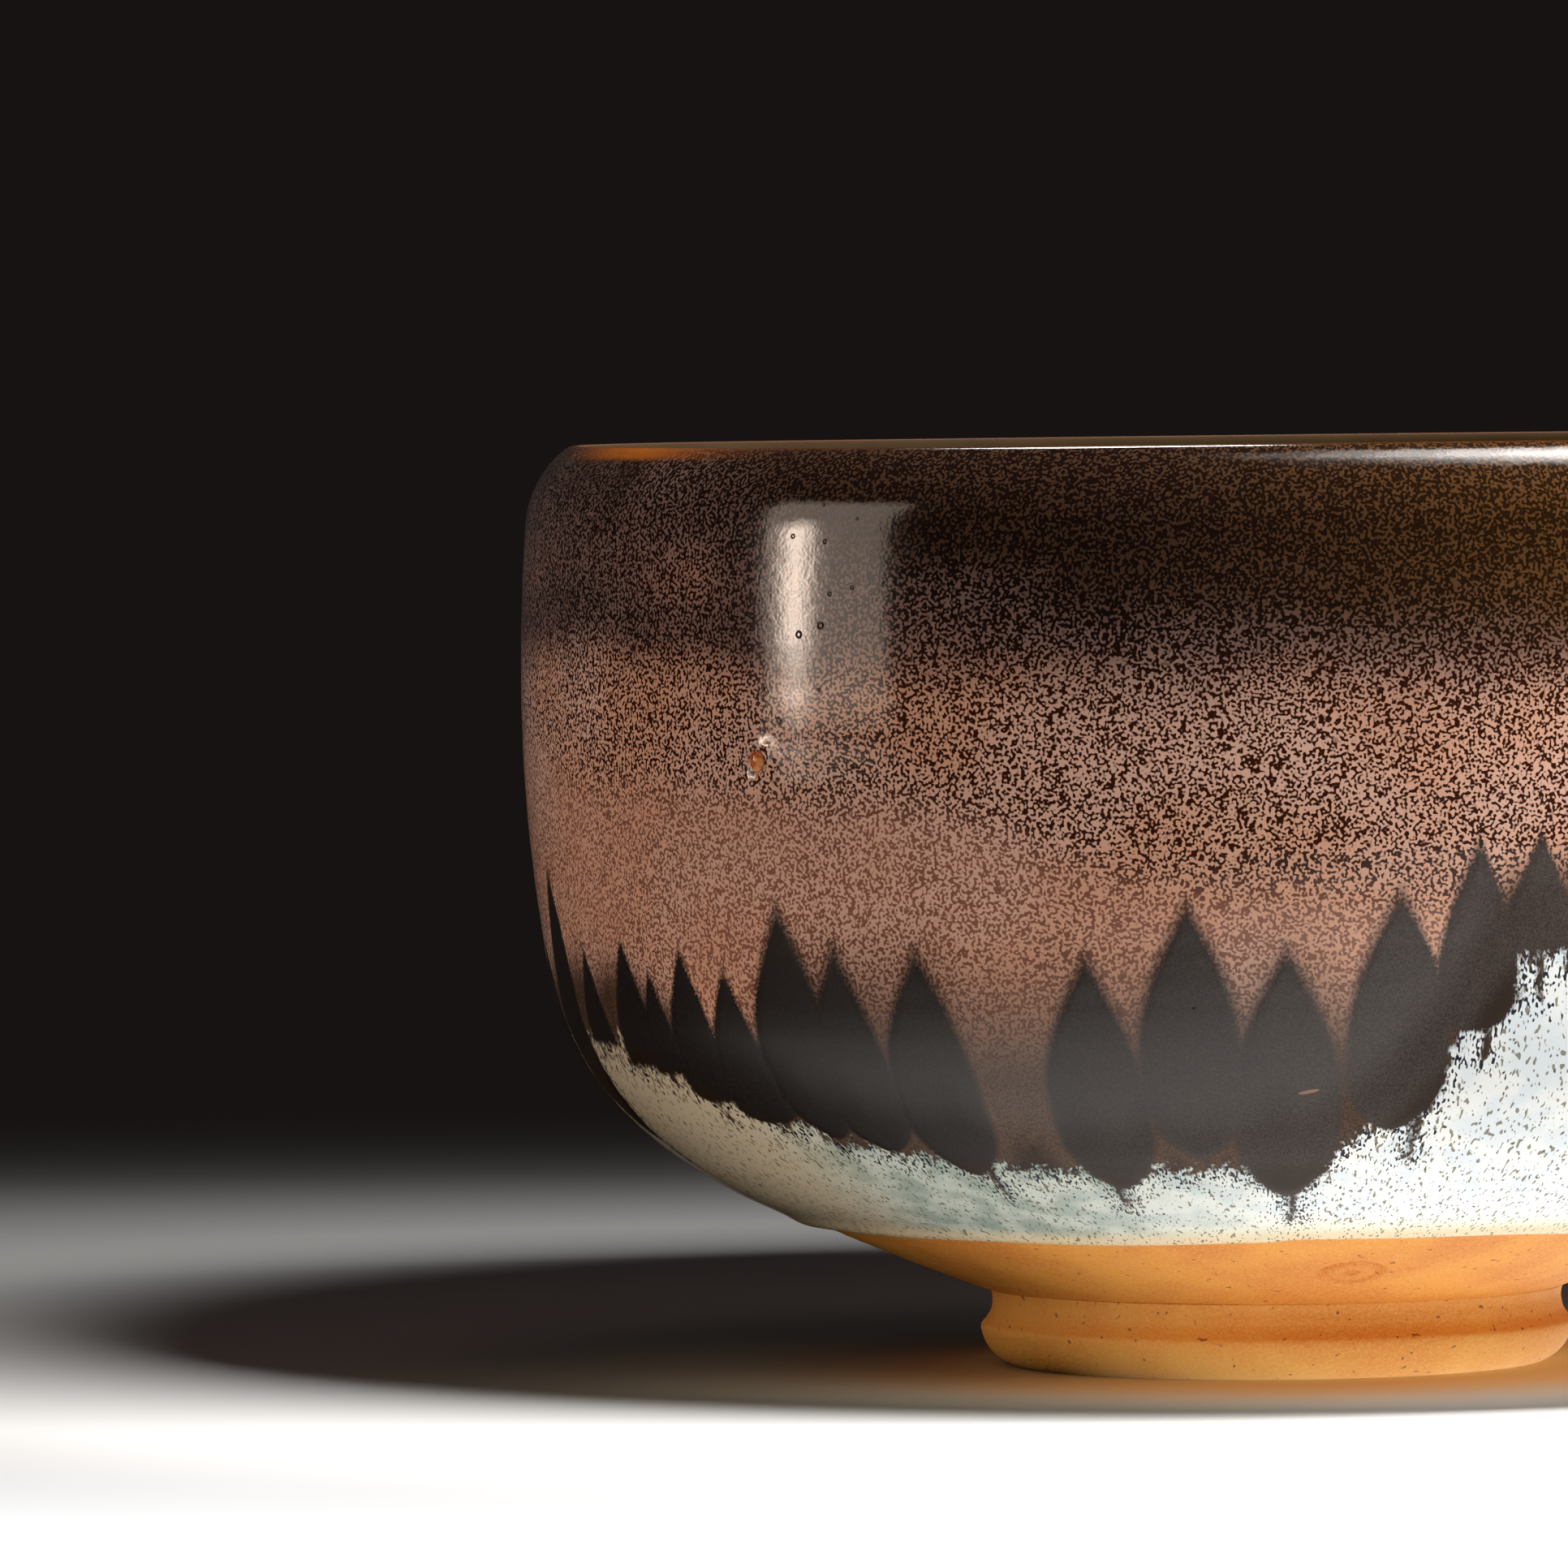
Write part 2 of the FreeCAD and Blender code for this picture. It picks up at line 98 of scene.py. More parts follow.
class Outline:
    """Clay outline from the foot out to the wall, over the lip and down to the middle of the floor."""

    def __init__(self):
        wall = np.array([CLAY_RADIUS - WALL_BEND, WIDEST])
        knee = wall + (WALL_BEND - KNEE_BEND) * along(-WALL_DROP)
        knee_end = -(WALL_DROP + KNEE_TURN)
        hip = knee + (KNEE_BEND - HIP_BEND) * along(knee_end)
        hip_end = knee_end - HIP_TURN
        under = hip + (HIP_BEND - UNDER_BEND) * along(hip_end)
        foot_end = math.degrees(math.asin((FOOT_HEIGHT - under[1]) / UNDER_BEND))
        shoulder = wall + (WALL_BEND - SHOULDER_BEND) * along(WALL_RISE)
        inside = WALL_BEND - WALL_THICKNESS

        def lip_centre(bend):
            up = LIP_HEIGHT - bend
            across = shoulder[0] + math.sqrt((SHOULDER_BEND - bend) ** 2 - (up - shoulder[1]) ** 2)
            return np.array([across, up])

        lip_bend = solve(lambda bend: math.dist(lip_centre(bend), wall) - inside - bend, 0.7, 2.2)
        lip = lip_centre(lip_bend)
        lip_start = math.degrees(math.atan2(*(lip - shoulder)[::-1]))
        lip_end = math.degrees(math.atan2(*(lip - wall)[::-1]))
        hip_in = knee_end - INNER_HIP_TURN
        floor = hip + (HIP_BEND - WALL_THICKNESS - FLOOR_BEND) * along(hip_in)
        floor_end = hip_in - FLOOR_TURN
        brow = floor + (FLOOR_BEND + BROW_BEND) * along(floor_end)

        def pool(turn):
            edge = brow + BROW_BEND * along(floor_end + 180 + turn)
            slope = math.radians(90 + floor_end + turn)
            bend = edge[0] / math.sin(slope)
            return np.array([0.0, edge[1] + bend * math.cos(slope)]), bend

        brow_turn = solve(lambda turn: pool(turn)[0][1] - pool(turn)[1] - POOL_HEIGHT, 0.5, 25.0)
        pool_centre, pool_bend = pool(brow_turn)
        self.points = []
        self.normals = []
        self.marks = {}
        self.stretch("under", under, UNDER_BEND, foot_end, hip_end)
        self.stretch("hip", hip, HIP_BEND, hip_end, knee_end)
        self.stretch("knee", knee, KNEE_BEND, knee_end, -WALL_DROP)
        self.stretch("wall", wall, WALL_BEND, -WALL_DROP, WALL_RISE)
        self.stretch("shoulder", shoulder, SHOULDER_BEND, WALL_RISE, lip_start)
        self.stretch("lip", lip, lip_bend, lip_start, lip_end + 180)
        self.stretch("inner_wall", wall, inside, lip_end, -WALL_DROP, inward=True)
        self.stretch("inner_knee", knee, KNEE_BEND - WALL_THICKNESS, -WALL_DROP, knee_end, inward=True)
        self.stretch("inner_hip", hip, HIP_BEND - WALL_THICKNESS, knee_end, hip_in, inward=True)
        self.stretch("floor", floor, FLOOR_BEND, hip_in, floor_end, inward=True)
        self.stretch("brow", brow, BROW_BEND, floor_end + 180, floor_end + 180 + brow_turn)
        self.stretch("pool", pool_centre, pool_bend, floor_end + brow_turn, -90.0, inward=True)
        self.finish()

    def stretch(self, name, centre, bend, start, end, inward=False):
        """Adds one arc; inward means that the clay lies outside it."""
        count = max(8, int(abs(math.radians(end - start)) * bend / SAMPLE))
        turn = np.radians(np.linspace(start, end, count + 1))
        ray = np.stack([np.cos(turn), np.sin(turn)], axis=1)
        first = 1 if self.points else 0
        self.marks[name] = sum(len(part) for part in self.points) - first
        self.points.append((centre + bend * ray)[first:])
        self.normals.append((-ray if inward else ray)[first:])

    def finish(self):
        """Joins the arcs and measures the distance along them."""
        points = np.concatenate(self.points)
        normals = np.concatenate(self.normals)
        steps = np.hypot(*np.diff(points, axis=0).T)
        self.run = np.concatenate([[0.0], np.cumsum(steps)])
        self.across, self.up = points.T
        self.normal_across, self.normal_up = normals.T
        self.marks = {name: self.run[max(0, index)] for name, index in self.marks.items()}
        self.end = self.run[-1]
        top = int(np.argmax(self.up))
        self.top = self.run[top]
        self.outer_up = self.up[:top]
        self.outer_run = self.run[:top]

    def at(self, run, table):
        """Value of one of the outline's tables at a distance along it."""
        return np.interp(run, self.run, table)

    def run_at_height(self, height):
        """Distance along the outside where the clay has this height."""
        return np.interp(height, self.outer_up, self.outer_run)


OUTLINE = Outline()
LIP_JOIN = OUTLINE.marks["shoulder"] + math.radians(LIP_JOIN_TURN) * SHOULDER_BEND
LINER_JOIN = OUTLINE.marks["inner_wall"]
GLAZE_EDGE = OUTLINE.marks["hip"] - math.radians(GLAZE_RUN_TURN) * UNDER_BEND


# ---------------------------------------------------------------- where things lie on the wall
def waves(azimuth, parts):
    """Sum of slow waves around the bowl: each part is (count, height, phase)."""
    turn = np.radians(azimuth)
    return sum(height * np.sin(count * turn + phase) for count, height, phase in parts)


def smooth(value, low, high):
    """0 below low, 1 above high, and an even slope between them."""
    part = np.clip((value - low) / (high - low), 0.0, 1.0)
    return part * part * (3 - 2 * part)


def around(azimuth):
    """The same azimuth between -180 and 180."""
    return (azimuth + 180.0) % 360.0 - 180.0


# Leaves in front: azimuth, height of the tip, height of the foot, half width, and the azimuth and lowest
# height of the drip under it.
FRONT_LEAVES = [
    (-68.0, 35.0, 27.0, 3.4, -69.5, 26.0), (-60.5, 36.0, 25.5, 3.6, -62.5, 24.8),
    (-56.7, 33.7, 25.0, 3.2, -57.6, 24.2), (-52.0, 35.4, 23.0, 3.6, -53.0, 21.6),
    (-46.9, 34.0, 21.5, 3.6, -46.6, 20.7), (-40.3, 38.9, 20.5, 4.0, -41.0, 19.6),
    (-35.2, 35.9, 19.6, 3.8, -35.0, 18.9), (-27.9, 35.8, 17.8, 3.9, -26.4, 16.1),
    (-14.2, 35.4, 16.8, 4.0, -14.8, 15.2), (-6.4, 39.3, 19.3, 4.1, -5.9, 18.3),
    (1.0, 35.9, 16.2, 4.2, 1.6, 14.2), (9.5, 40.2, 21.5, 4.1, 11.5, 19.3),
    (15.4, 44.0, 29.0, 3.4, 16.4, 26.9), (20.1, 44.6, 35.0, 3.4, 20.3, 31.4),
    (25.6, 43.0, 33.5, 3.6, 26.2, 30.5),
]
BACK_LEAVES = 35
BACK_START, BACK_END = 32.8, 284.5
LEAF_SPREAD = 11.5  # distance under the tip where a leaf is widest
DRIP_HALF_WIDTH = 0.55

# Azimuth and height of the line where the ash glaze comes through under the leaves.
ASH_LINE = [
    (-180, 19.0), (-120, 21.0), (-90, 25.0), (-71, 27.6), (-62, 27.2), (-53, 24.6), (-46, 21.6),
    (-35, 19.6), (-20, 18.4), (-11, 18.2), (-5, 18.8), (2, 19.0), (6, 20.2), (9, 22.6), (12, 26.0),
    (14.5, 29.4), (18, 34.2), (22, 35.2), (30, 34.6), (44, 31.5), (60, 27.0), (80, 23.0), (110, 19.5),
    (140, 20.5), (180, 19.0),
]


def all_leaves():
    """Every leaf around the bowl, the ones behind spaced evenly with every third one tall."""
    leaves = list(FRONT_LEAVES)
    for number in range(BACK_LEAVES):
        azimuth = BACK_START + (BACK_END - BACK_START) * number / (BACK_LEAVES - 1)
        lift = 3.6 if number % 3 == 1 else 0.0
        drift = 1.5 * math.sin(number * 1.7)
        foot = 19.5 - lift / 2 + drift
        width = 3.7 + 0.3 * math.cos(number * 2.3)
        drip = azimuth + math.sin(number * 4.1)
        leaves.append((around(azimuth), 36.0 + lift + drift, foot, width, around(drip), foot - 1.6))
    return leaves


def leaf_distance(azimuth, run):
    """Millimetres inside the nearest leaf or drip, negative outside."""
    across = OUTLINE.at(run, OUTLINE.across)
    best = np.full(np.broadcast(azimuth, run).shape, -20.0)
    for leaf, tip, foot, width, drip, drip_end in all_leaves():
        tip_run, foot_run, end_run = OUTLINE.run_at_height(np.array([tip, foot, drip_end]))
        aside = across * np.radians(around(azimuth - leaf))
        below = tip_run - run
        swell = np.sin(np.pi / 2 * np.clip(below / LEAF_SPREAD, 0, 1))
        lower = np.clip((below - LEAF_SPREAD) / max(tip_run - foot_run - LEAF_SPREAD, 2.0), 0, 1)
        half = width * swell * np.maximum(1 - lower ** 3.2, 0) ** 0.8
        blade = np.minimum((half - np.abs(aside)) * 0.92, np.minimum(below, run - foot_run))
        best = np.maximum(best, blade)
        beside = across * np.radians(around(azimuth - drip))
        fall = np.clip((run - end_run) / (foot_run + 3.0 - end_run), 0, 1)
        streak = np.minimum(DRIP_HALF_WIDTH * (0.35 + 0.65 * fall) - np.abs(beside), run - end_run)
        streak = np.where(run > foot_run + 3.0, -20.0, streak)
        best = np.maximum(best, streak)
    return best


def line_depth(azimuth, run):
    """Millimetres below the line where the ash glaze begins; negative above it."""
    places, heights = np.array(ASH_LINE).T
    line = np.interp(around(azimuth), places, heights)
    ragged = waves(azimuth, [(23, 0.35, 0.4), (41, 0.25, 2.0), (67, 0.2, 1.1)])
    return OUTLINE.run_at_height(line) + ragged - run


# Slopes of the wall's colours, each from where it is 0 to where it is 1, and heights in millimetres.
LEFT_SIDE = ((-30.0, -52.0), (-130.0, -100.0))
RIGHT_SIDE = ((-15.0, 30.0), (130.0, 70.0))
# The lit right side: thick white ash, and there the ash and the leaves are also painted lighter as painted
# light.
LIT_THICK_ASH_SIDE = ((-40.0, 30.0), (150.0, 60.0))
PEACH_SIDE = ((-36.0, -54.0), (-140.0, -100.0))
CALM_SIDE = ((-50.0, -34.0), (13.0, 1.0))
ROSE_END, ROSE_FULL = 69.0, 47.0
DUSK_HEIGHT, DUSK_REACH = 60.5, 3.0
# Left part of the lip where the thin amber glaze is painted bright: painted light shining through it.
LIT_THIN_LIP_AZIMUTH, LIT_THIN_LIP_REACH = -62.0, 10.0


def within(value, start, end):
    """1 between two slopes, 0 outside them."""
    return smooth(value, *start) * smooth(value, *end)


def fields(azimuth, run):
    """What the glaze's colours need to know about each point, by name.

    run: millimetres along the outline. leaf: millimetres inside a leaf. line: millimetres below the ash line,
    and ash the same but clear of the leaves. thick_ash_and_light: how thick the white is, and painted light:
    1 on the lit right side, where the ash is painted whiter and the leaves lighter, 0 away from it as painted
    shade.
    peach: where clay shines through it. rose: how far the rose ground has opened. amber: tint of the thick
    brown
    glaze. rim: tint of the thin brown glaze, with painted light at the left of the lip, where bright amber
    stands for light shining through the thin glaze. haze: how pale the spots are. gap: calmer brown between
    the leaves.
    inner: olive inside of the lip.
    haze: how pale the spots are. gap: calmer brown between the leaves. inner: olive inside of the lip.
    edge: millimetres above the bare clay.
    """
    height = OUTLINE.at(run, OUTLINE.up)
    outside = run < OUTLINE.top
    leaf = np.where(outside, leaf_distance(azimuth, run), -6.0)
    line = np.where(outside, line_depth(azimuth, run), -20.0)
    ash = np.minimum(line, 0.3 - 1.7 * leaf)
    cloud = waves(azimuth, [(3, 1.3, 0.5), (7, 0.9, 2.2), (13, 0.6, 4.0)])
    left = within(azimuth, *LEFT_SIDE)
    rose_end = ROSE_END + 13.0 * left + 2.0 * smooth(azimuth, -25.0, 5.0)
    dusk = np.exp(-((height - DUSK_HEIGHT - cloud) / DUSK_REACH) ** 2) * (0.35 + 0.65 * left)
    wall = smooth(height + cloud, rose_end, ROSE_FULL) - 0.3 * dusk
    well = smooth(height + 2 * cloud, 66.0, 40.0) * smooth(height + cloud, 17.0, 24.0)
    haze = smooth(height + cloud + 0.11 * np.clip(azimuth + 40.0, -60.0, 80.0), 47.5, 43.0)
    reach = 9.0 + 14.0 * within(azimuth, *CALM_SIDE)
    # Painted light: bright amber at the left of the lip stands for light shining through the thin glaze; the
    # crest line is the glaze's own tint.
    thin = 0.85 * np.exp(-(around(azimuth - LIT_THIN_LIP_AZIMUTH) / LIT_THIN_LIP_REACH) ** 2)
    crest = 0.25 * np.exp(-((run - OUTLINE.top) / 0.30) ** 2)
    return {
        "run": np.broadcast_to(run, height.shape),
        "leaf": np.clip(leaf, -6, 6),
        "line": np.clip(line, -20, 20),
        "ash": np.clip(ash, -20, 20),
        # Thick white ash on the lit right side, which is also painted light: whiter ash and lighter leaves
        # there, painted shade on the left.
        "thick_ash_and_light": within(azimuth, *LIT_THICK_ASH_SIDE),
        "peach": within(azimuth, *PEACH_SIDE),
        "rose": np.where(outside, wall, well).clip(0, 1),
        "amber": np.where(outside, within(azimuth, *RIGHT_SIDE), 0.6) * smooth(height, 54.0, 62.0),
        "rim": np.clip(thin * smooth(height, 72.4, 72.9) + crest, 0, 1),
        "haze": np.where(outside, haze, 0.0),
        "gap": np.where(outside, smooth(-ash, reach, 0.4 * reach), 0.0),
        "inner": smooth(run, OUTLINE.top - 0.1, OUTLINE.top + 0.5) * smooth(height, 60.0, 68.0),
        "edge": np.where(outside, np.clip(run - edge_run(azimuth), 0, 20), 20.0),
    }


def edge_run(azimuth):
    """Distance along the outline where the glaze stops above the bare clay."""
    ripple = waves(azimuth, [(2, 0.35, 1.0), (5, 0.25, 0.3), (11, 0.12, 2.0)])
    step = 0.5 * smooth(azimuth, -1.0, 2.5) * smooth(azimuth, 60.0, 20.0)
    return GLAZE_EDGE + ripple + step


def border_run(azimuth):
    """Distance along the outline where the lower glaze goes under the upper one."""
    return OUTLINE.marks["knee"] + waves(azimuth, [(4, 0.5, 0.0), (9, 0.3, 1.0)])


def lip_run(azimuth):
    """Distance along the outline where the amber of the lip begins."""
    return LIP_JOIN + waves(azimuth, [(3, 0.12, 0.7), (8, 0.08, 2.0)])


def hand(azimuth, run):
    """Unevenness of a thrown wall, in millimetres."""
    turn = np.radians(azimuth)
    rings = 0.010 * np.sin(run * 1.25 + 0.5 * np.sin(turn)) + 0.003 * np.sin(run * 2.9 + turn)
    dents = 0.05 * np.sin(3 * turn + 0.08 * run) * np.sin(run / 7.0 + 1.0)
    return rings + dents


def glaze_lift(azimuth, run):
    """How far the outer glaze stands off the clay: a full coat, rolled over where it stops."""
    inside = run - edge_run(azimuth)
    rolled = np.sqrt(np.clip(1 - (1 - np.clip(inside / 0.7, 0, 1)) ** 2, 0, 1))
    swell = 1 + 0.3 * np.exp(-((inside - 1.3) / 0.9) ** 2)
    return COAT * rolled * swell


# ---------------------------------------------------------------- meshes
COLUMNS = 900
AZIMUTHS = np.linspace(-180.0, 180.0, COLUMNS, endpoint=False)
SUNK = -0.05      # hidden faces of a coat lie this far under the surface that carries it
POLE_GAP = 1.5    # the last ring of an open surface lies this far from the axis
OFF_MAP = -0.01   # height of hidden rings on the texture map, just under its strips
MAP_CORNER = 0.001


def place(azimuth, run, lift):
    """Points in millimetres that stand off the thrown clay by lift."""
    off = lift + hand(azimuth, run)
    across = OUTLINE.at(run, OUTLINE.across) + off * OUTLINE.at(run, OUTLINE.normal_across)
    up = OUTLINE.at(run, OUTLINE.up) + off * OUTLINE.at(run, OUTLINE.normal_up)
    turn = np.radians(azimuth)
    return np.stack([across * np.sin(turn), -across * np.cos(turn), up], axis=-1)


def turned(radius, height):
    """Rings of points around the axis, one for each row of the radii and heights."""
    turn = np.radians(AZIMUTHS)
    points = np.broadcast_arrays(radius * np.sin(turn), -radius * np.cos(turn), height)
    return np.stack(points, axis=-1)


def normals_of(azimuth, run, lift_at):
    """Outward normals of the surface that stands off the clay by lift_at(azimuth, run)."""
    step = 0.06
    turn = 0.06
    upward = place(azimuth, run + step, lift_at(azimuth, run + step))
    upward = upward - place(azimuth, run - step, lift_at(azimuth, run - step))
    sideways = place(azimuth + turn, run, lift_at(azimuth + turn, run))
    sideways = sideways - place(azimuth - turn, run, lift_at(azimuth - turn, run))
    normal = np.cross(sideways, upward)
    return normal / np.maximum(np.linalg.norm(normal, axis=-1, keepdims=True), 1e-12)


def spaced(zones):
    """Distances from 0 to the last zone's end, each zone a pair (end, spacing)."""
    marks = [0.0]
    for end, spacing in zones:
        count = max(1, round((end - marks[-1]) / spacing))
        marks.extend(np.linspace(marks[-1], end, count + 1)[1:])
    return np.array(marks)


def ring_quads(count, closed, columns=COLUMNS):
    """Quads between rings of points; closed joins the last ring to the first."""
    gaps = count if closed else count - 1
    ring, column = np.meshgrid(np.arange(gaps), np.arange(columns), indexing="ij")
    above = (ring + 1) % count * columns
    beside = (column + 1) % columns
    corners = [ring * columns + column, ring * columns + beside, above + beside, above + column]
    return np.stack(corners, axis=-1).reshape(-1, 4)


def strip_map(count, closed, heights, strips):
    """Texture coordinates of ring_quads: the way around the bowl is cut in strips, one above the other."""
    gaps = count if closed else count - 1
    ring, column = np.meshgrid(np.arange(gaps), np.arange(COLUMNS), indexing="ij")
    strip = column * strips // COLUMNS
    left = (column - strip * COLUMNS // strips) * strips / COLUMNS
    right = left + strips / COLUMNS
    low = (strip + 0.03 + 0.94 * heights[ring]) / strips
    high = (strip + 0.03 + 0.94 * heights[(ring + 1) % count]) / strips
    corners = [(left, low), (right, low), (right, high), (left, high)]
    return np.stack([np.stack(corner, axis=-1) for corner in corners], axis=-2).reshape(-1, 2)


def pole_fan(pole, ring, upward, columns=COLUMNS):
    """Triangles between a pole and a ring of points, both given by the number of their first point."""
    column = np.arange(columns)
    near, far = ring + column, ring + (column + 1) % columns
    tip = np.full(columns, pole)
    return np.stack([near, far, tip] if upward else [far, near, tip], axis=1)


def make_mesh(name, points, faces, normals=None, values=None, uv=None):
    """Mesh object from points in millimetres, with its own normals, painted fields and texture map."""
    mesh = bpy.data.meshes.new(name)
    mesh.from_pydata((np.asarray(points) * MM).tolist(), [], faces, shade_flat=False)
    for field, value in (values or {}).items():
        layer = mesh.attributes.new(field, "FLOAT", "POINT")
        layer.data.foreach_set("value", np.ascontiguousarray(value, dtype=np.float32))
    if uv is not None:
        layer = mesh.uv_layers.new(name="OFBake")
        layer.data.foreach_set("uv", np.ascontiguousarray(uv, dtype=np.float32).ravel())
    mesh.update()
    if normals is not None:
        mesh.normals_split_custom_set_from_vertices(np.asarray(normals, dtype=np.float32).tolist())
    piece = bpy.data.objects.new(name, mesh)
    bpy.context.scene.collection.objects.link(piece)
    return piece


def make_turned(name, rings, strips, poles=None, normals=None, values=None, heights=None):
    """Closed mesh through rings of points: joined end to end, or closed at two poles on the axis."""
    count = len(rings)
    closed = poles is None
    if heights is None:
        heights = np.linspace(0, 1, count)
    points = rings.reshape(-1, 3)
    quads = ring_quads(count, closed)
    faces = quads.tolist()
    uv = [strip_map(count, closed, heights, strips)]
    if not closed:
        ends = len(points)
        points = np.concatenate([points, poles])
        fans = [pole_fan(ends, 0, upward=False), pole_fan(ends + 1, ends - COLUMNS, upward=True)]
        faces += np.concatenate(fans).tolist()
        uv.append(np.full((6 * COLUMNS, 2), MAP_CORNER))
    shading = None
    if normals is not None:
        extra = len(points) - count * COLUMNS
        shading = np.concatenate([normals.reshape(-1, 3), np.zeros((extra, 3))])
    return make_mesh(name, points, faces, shading, values, np.concatenate(uv))


def surface(runs, lift_at):
    """Rings of points and of normals on the face that stands off the clay by lift_at; runs is per ring."""
    azimuth = np.broadcast_to(AZIMUTHS, (len(runs), COLUMNS))
    run = runs if runs.ndim == 2 else np.broadcast_to(runs[:, None], azimuth.shape)
    points = place(azimuth, run, lift_at(azimuth, run))
    return points, normals_of(azimuth, run, lift_at), azimuth, run


def sunk(azimuth, run):
    """Hidden face of a coat."""
    return np.full(np.shape(azimuth), SUNK)


# ---------------------------------------------------------------- coats of glaze
UPPER_ZONES = [(28.0, 0.45), (58.0, 0.85)]
LOWER_ZONES = [(0.06, 0.06), (0.3, 0.08), (1.2, 0.18), (16.0, 0.42)]
LIP_ZONES = [(6.0, 0.3)]
LINER_ROW, LINER_BACK_ROWS = 1.6, 24
BEAD_AZIMUTH, BEAD_HEIGHT = -41.3, 49.7


def near_bead(azimuth, run):
    """Millimetres from the middle of the stone bead, along the wall."""
    centre = OUTLINE.run_at_height(BEAD_HEIGHT)
    aside = CLAY_RADIUS * np.radians(around(azimuth - BEAD_AZIMUTH))
    return np.hypot(aside, run - centre)


def coat_lift(azimuth, run):
    """Outer face of the glaze: full coat with a low collar around the stone bead."""
    distance = near_bead(azimuth, run)
    collar = 0.16 * np.exp(-((distance - 1.35) / 0.55) ** 2) - 0.12 * np.exp(-((distance - 0.7) / 0.3) ** 2)
    return glaze_lift(azimuth, run) + collar


def make_coat(name, low, high, zones, strips):
    """Closed coat between two borders around the bowl: a fine outer face and a coarse sunk inner face."""
    marks = spaced(zones)
    share = marks / marks[-1]
    back = share[np.unique(np.linspace(0, len(share) - 1, max(6, len(share) // 8)).astype(int))][::-1]
    bottom, top = low(AZIMUTHS), high(AZIMUTHS)
    shown, normals, azimuth, run = surface(bottom + share[:, None] * (top - bottom), coat_lift)
    hidden, _, back_azimuth, back_run = surface(bottom + back[:, None] * (top - bottom), sunk)
    values = fields(np.concatenate([azimuth, back_azimuth]).ravel(), np.concatenate([run, back_run]).ravel())
    heights = np.concatenate([share, np.full(len(back), OFF_MAP)])
    shading = np.concatenate([normals, np.zeros_like(hidden)])
    return make_turned(name, np.concatenate([shown, hidden]), strips, None, shading, values, heights)


def liner_join(azimuth):
    """Run along the outline where the liner takes over from the lip coat."""
    return np.full(np.shape(azimuth), LINER_JOIN)


def make_liner():
    """Liner of the inside down to the middle of the floor, closed by a sunk face."""
    marks = LINER_JOIN + spaced([(OUTLINE.end - LINER_JOIN - POLE_GAP, LINER_ROW)])
    back = marks[np.linspace(len(marks) - 1, 0, LINER_BACK_ROWS).astype(int)]
    hidden, _, back_azimuth, back_run = surface(back, sunk)
    shown, normals, azimuth, run = surface(marks, coat_lift)
    azimuths = np.concatenate([back_azimuth.ravel(), azimuth.ravel(), [0.0, 0.0]])
    values = fields(azimuths, np.concatenate([back_run.ravel(), run.ravel(), [OUTLINE.end] * 2]))
    poles = np.array([[0, 0, OUTLINE.up[-1] + SUNK], [0, 0, shown[-1, :, 2].mean()]])
    rings = np.concatenate([hidden, shown])
    shading = np.concatenate([np.zeros_like(hidden), normals])
    heights = np.concatenate([np.full(len(back), OFF_MAP), np.linspace(1, 0, len(marks))])
    return make_turned("bowl_liner", rings, 3, poles, shading, values, heights)


# ---------------------------------------------------------------- leaves
LEAF_ZONE = (13.0, 46.5)
LEAF_ROW = 0.45


def leaf_lift(azimuth, run):
    """Outer face of the leaves: flush with the coat at their edge, a little proud inside."""
    return coat_lift(azimuth, run) + 0.012 + 0.06 * smooth(leaf_distance(azimuth, run), 0.0, 1.0)


def cut_cells(depth):
    """Polygons of a grid where depth is above zero, cut along its zero line.

    A corner is (row, column, share, other row, other column): a grid point or a share of the way to one.
    """
    inside = depth > 0
    corner_steps = [(0, 0), (0, 1), (1, 1), (1, 0)]
    around_cells = [np.roll(inside, -across, axis=1)[up:up + len(inside) - 1] for up, across in corner_steps]
    full = np.logical_and.reduce(around_cells)
    touched = np.logical_or.reduce(around_cells)
    polygons = []
    for row, column in np.argwhere(touched):
        corners = [(row + up, (column + across) % COLUMNS) for up, across in corner_steps]
        if full[row, column]:
            polygons.append(corners)
            continue
        polygon = []
        for here, there in zip(corners, corners[1:] + corners[:1]):
            if inside[here]:
                polygon.append(here)
            if inside[here] != inside[there]:
                kept, lost = (here, there) if inside[here] else (there, here)
                polygon.append((kept, lost))
        polygons.append(polygon)
    return polygons


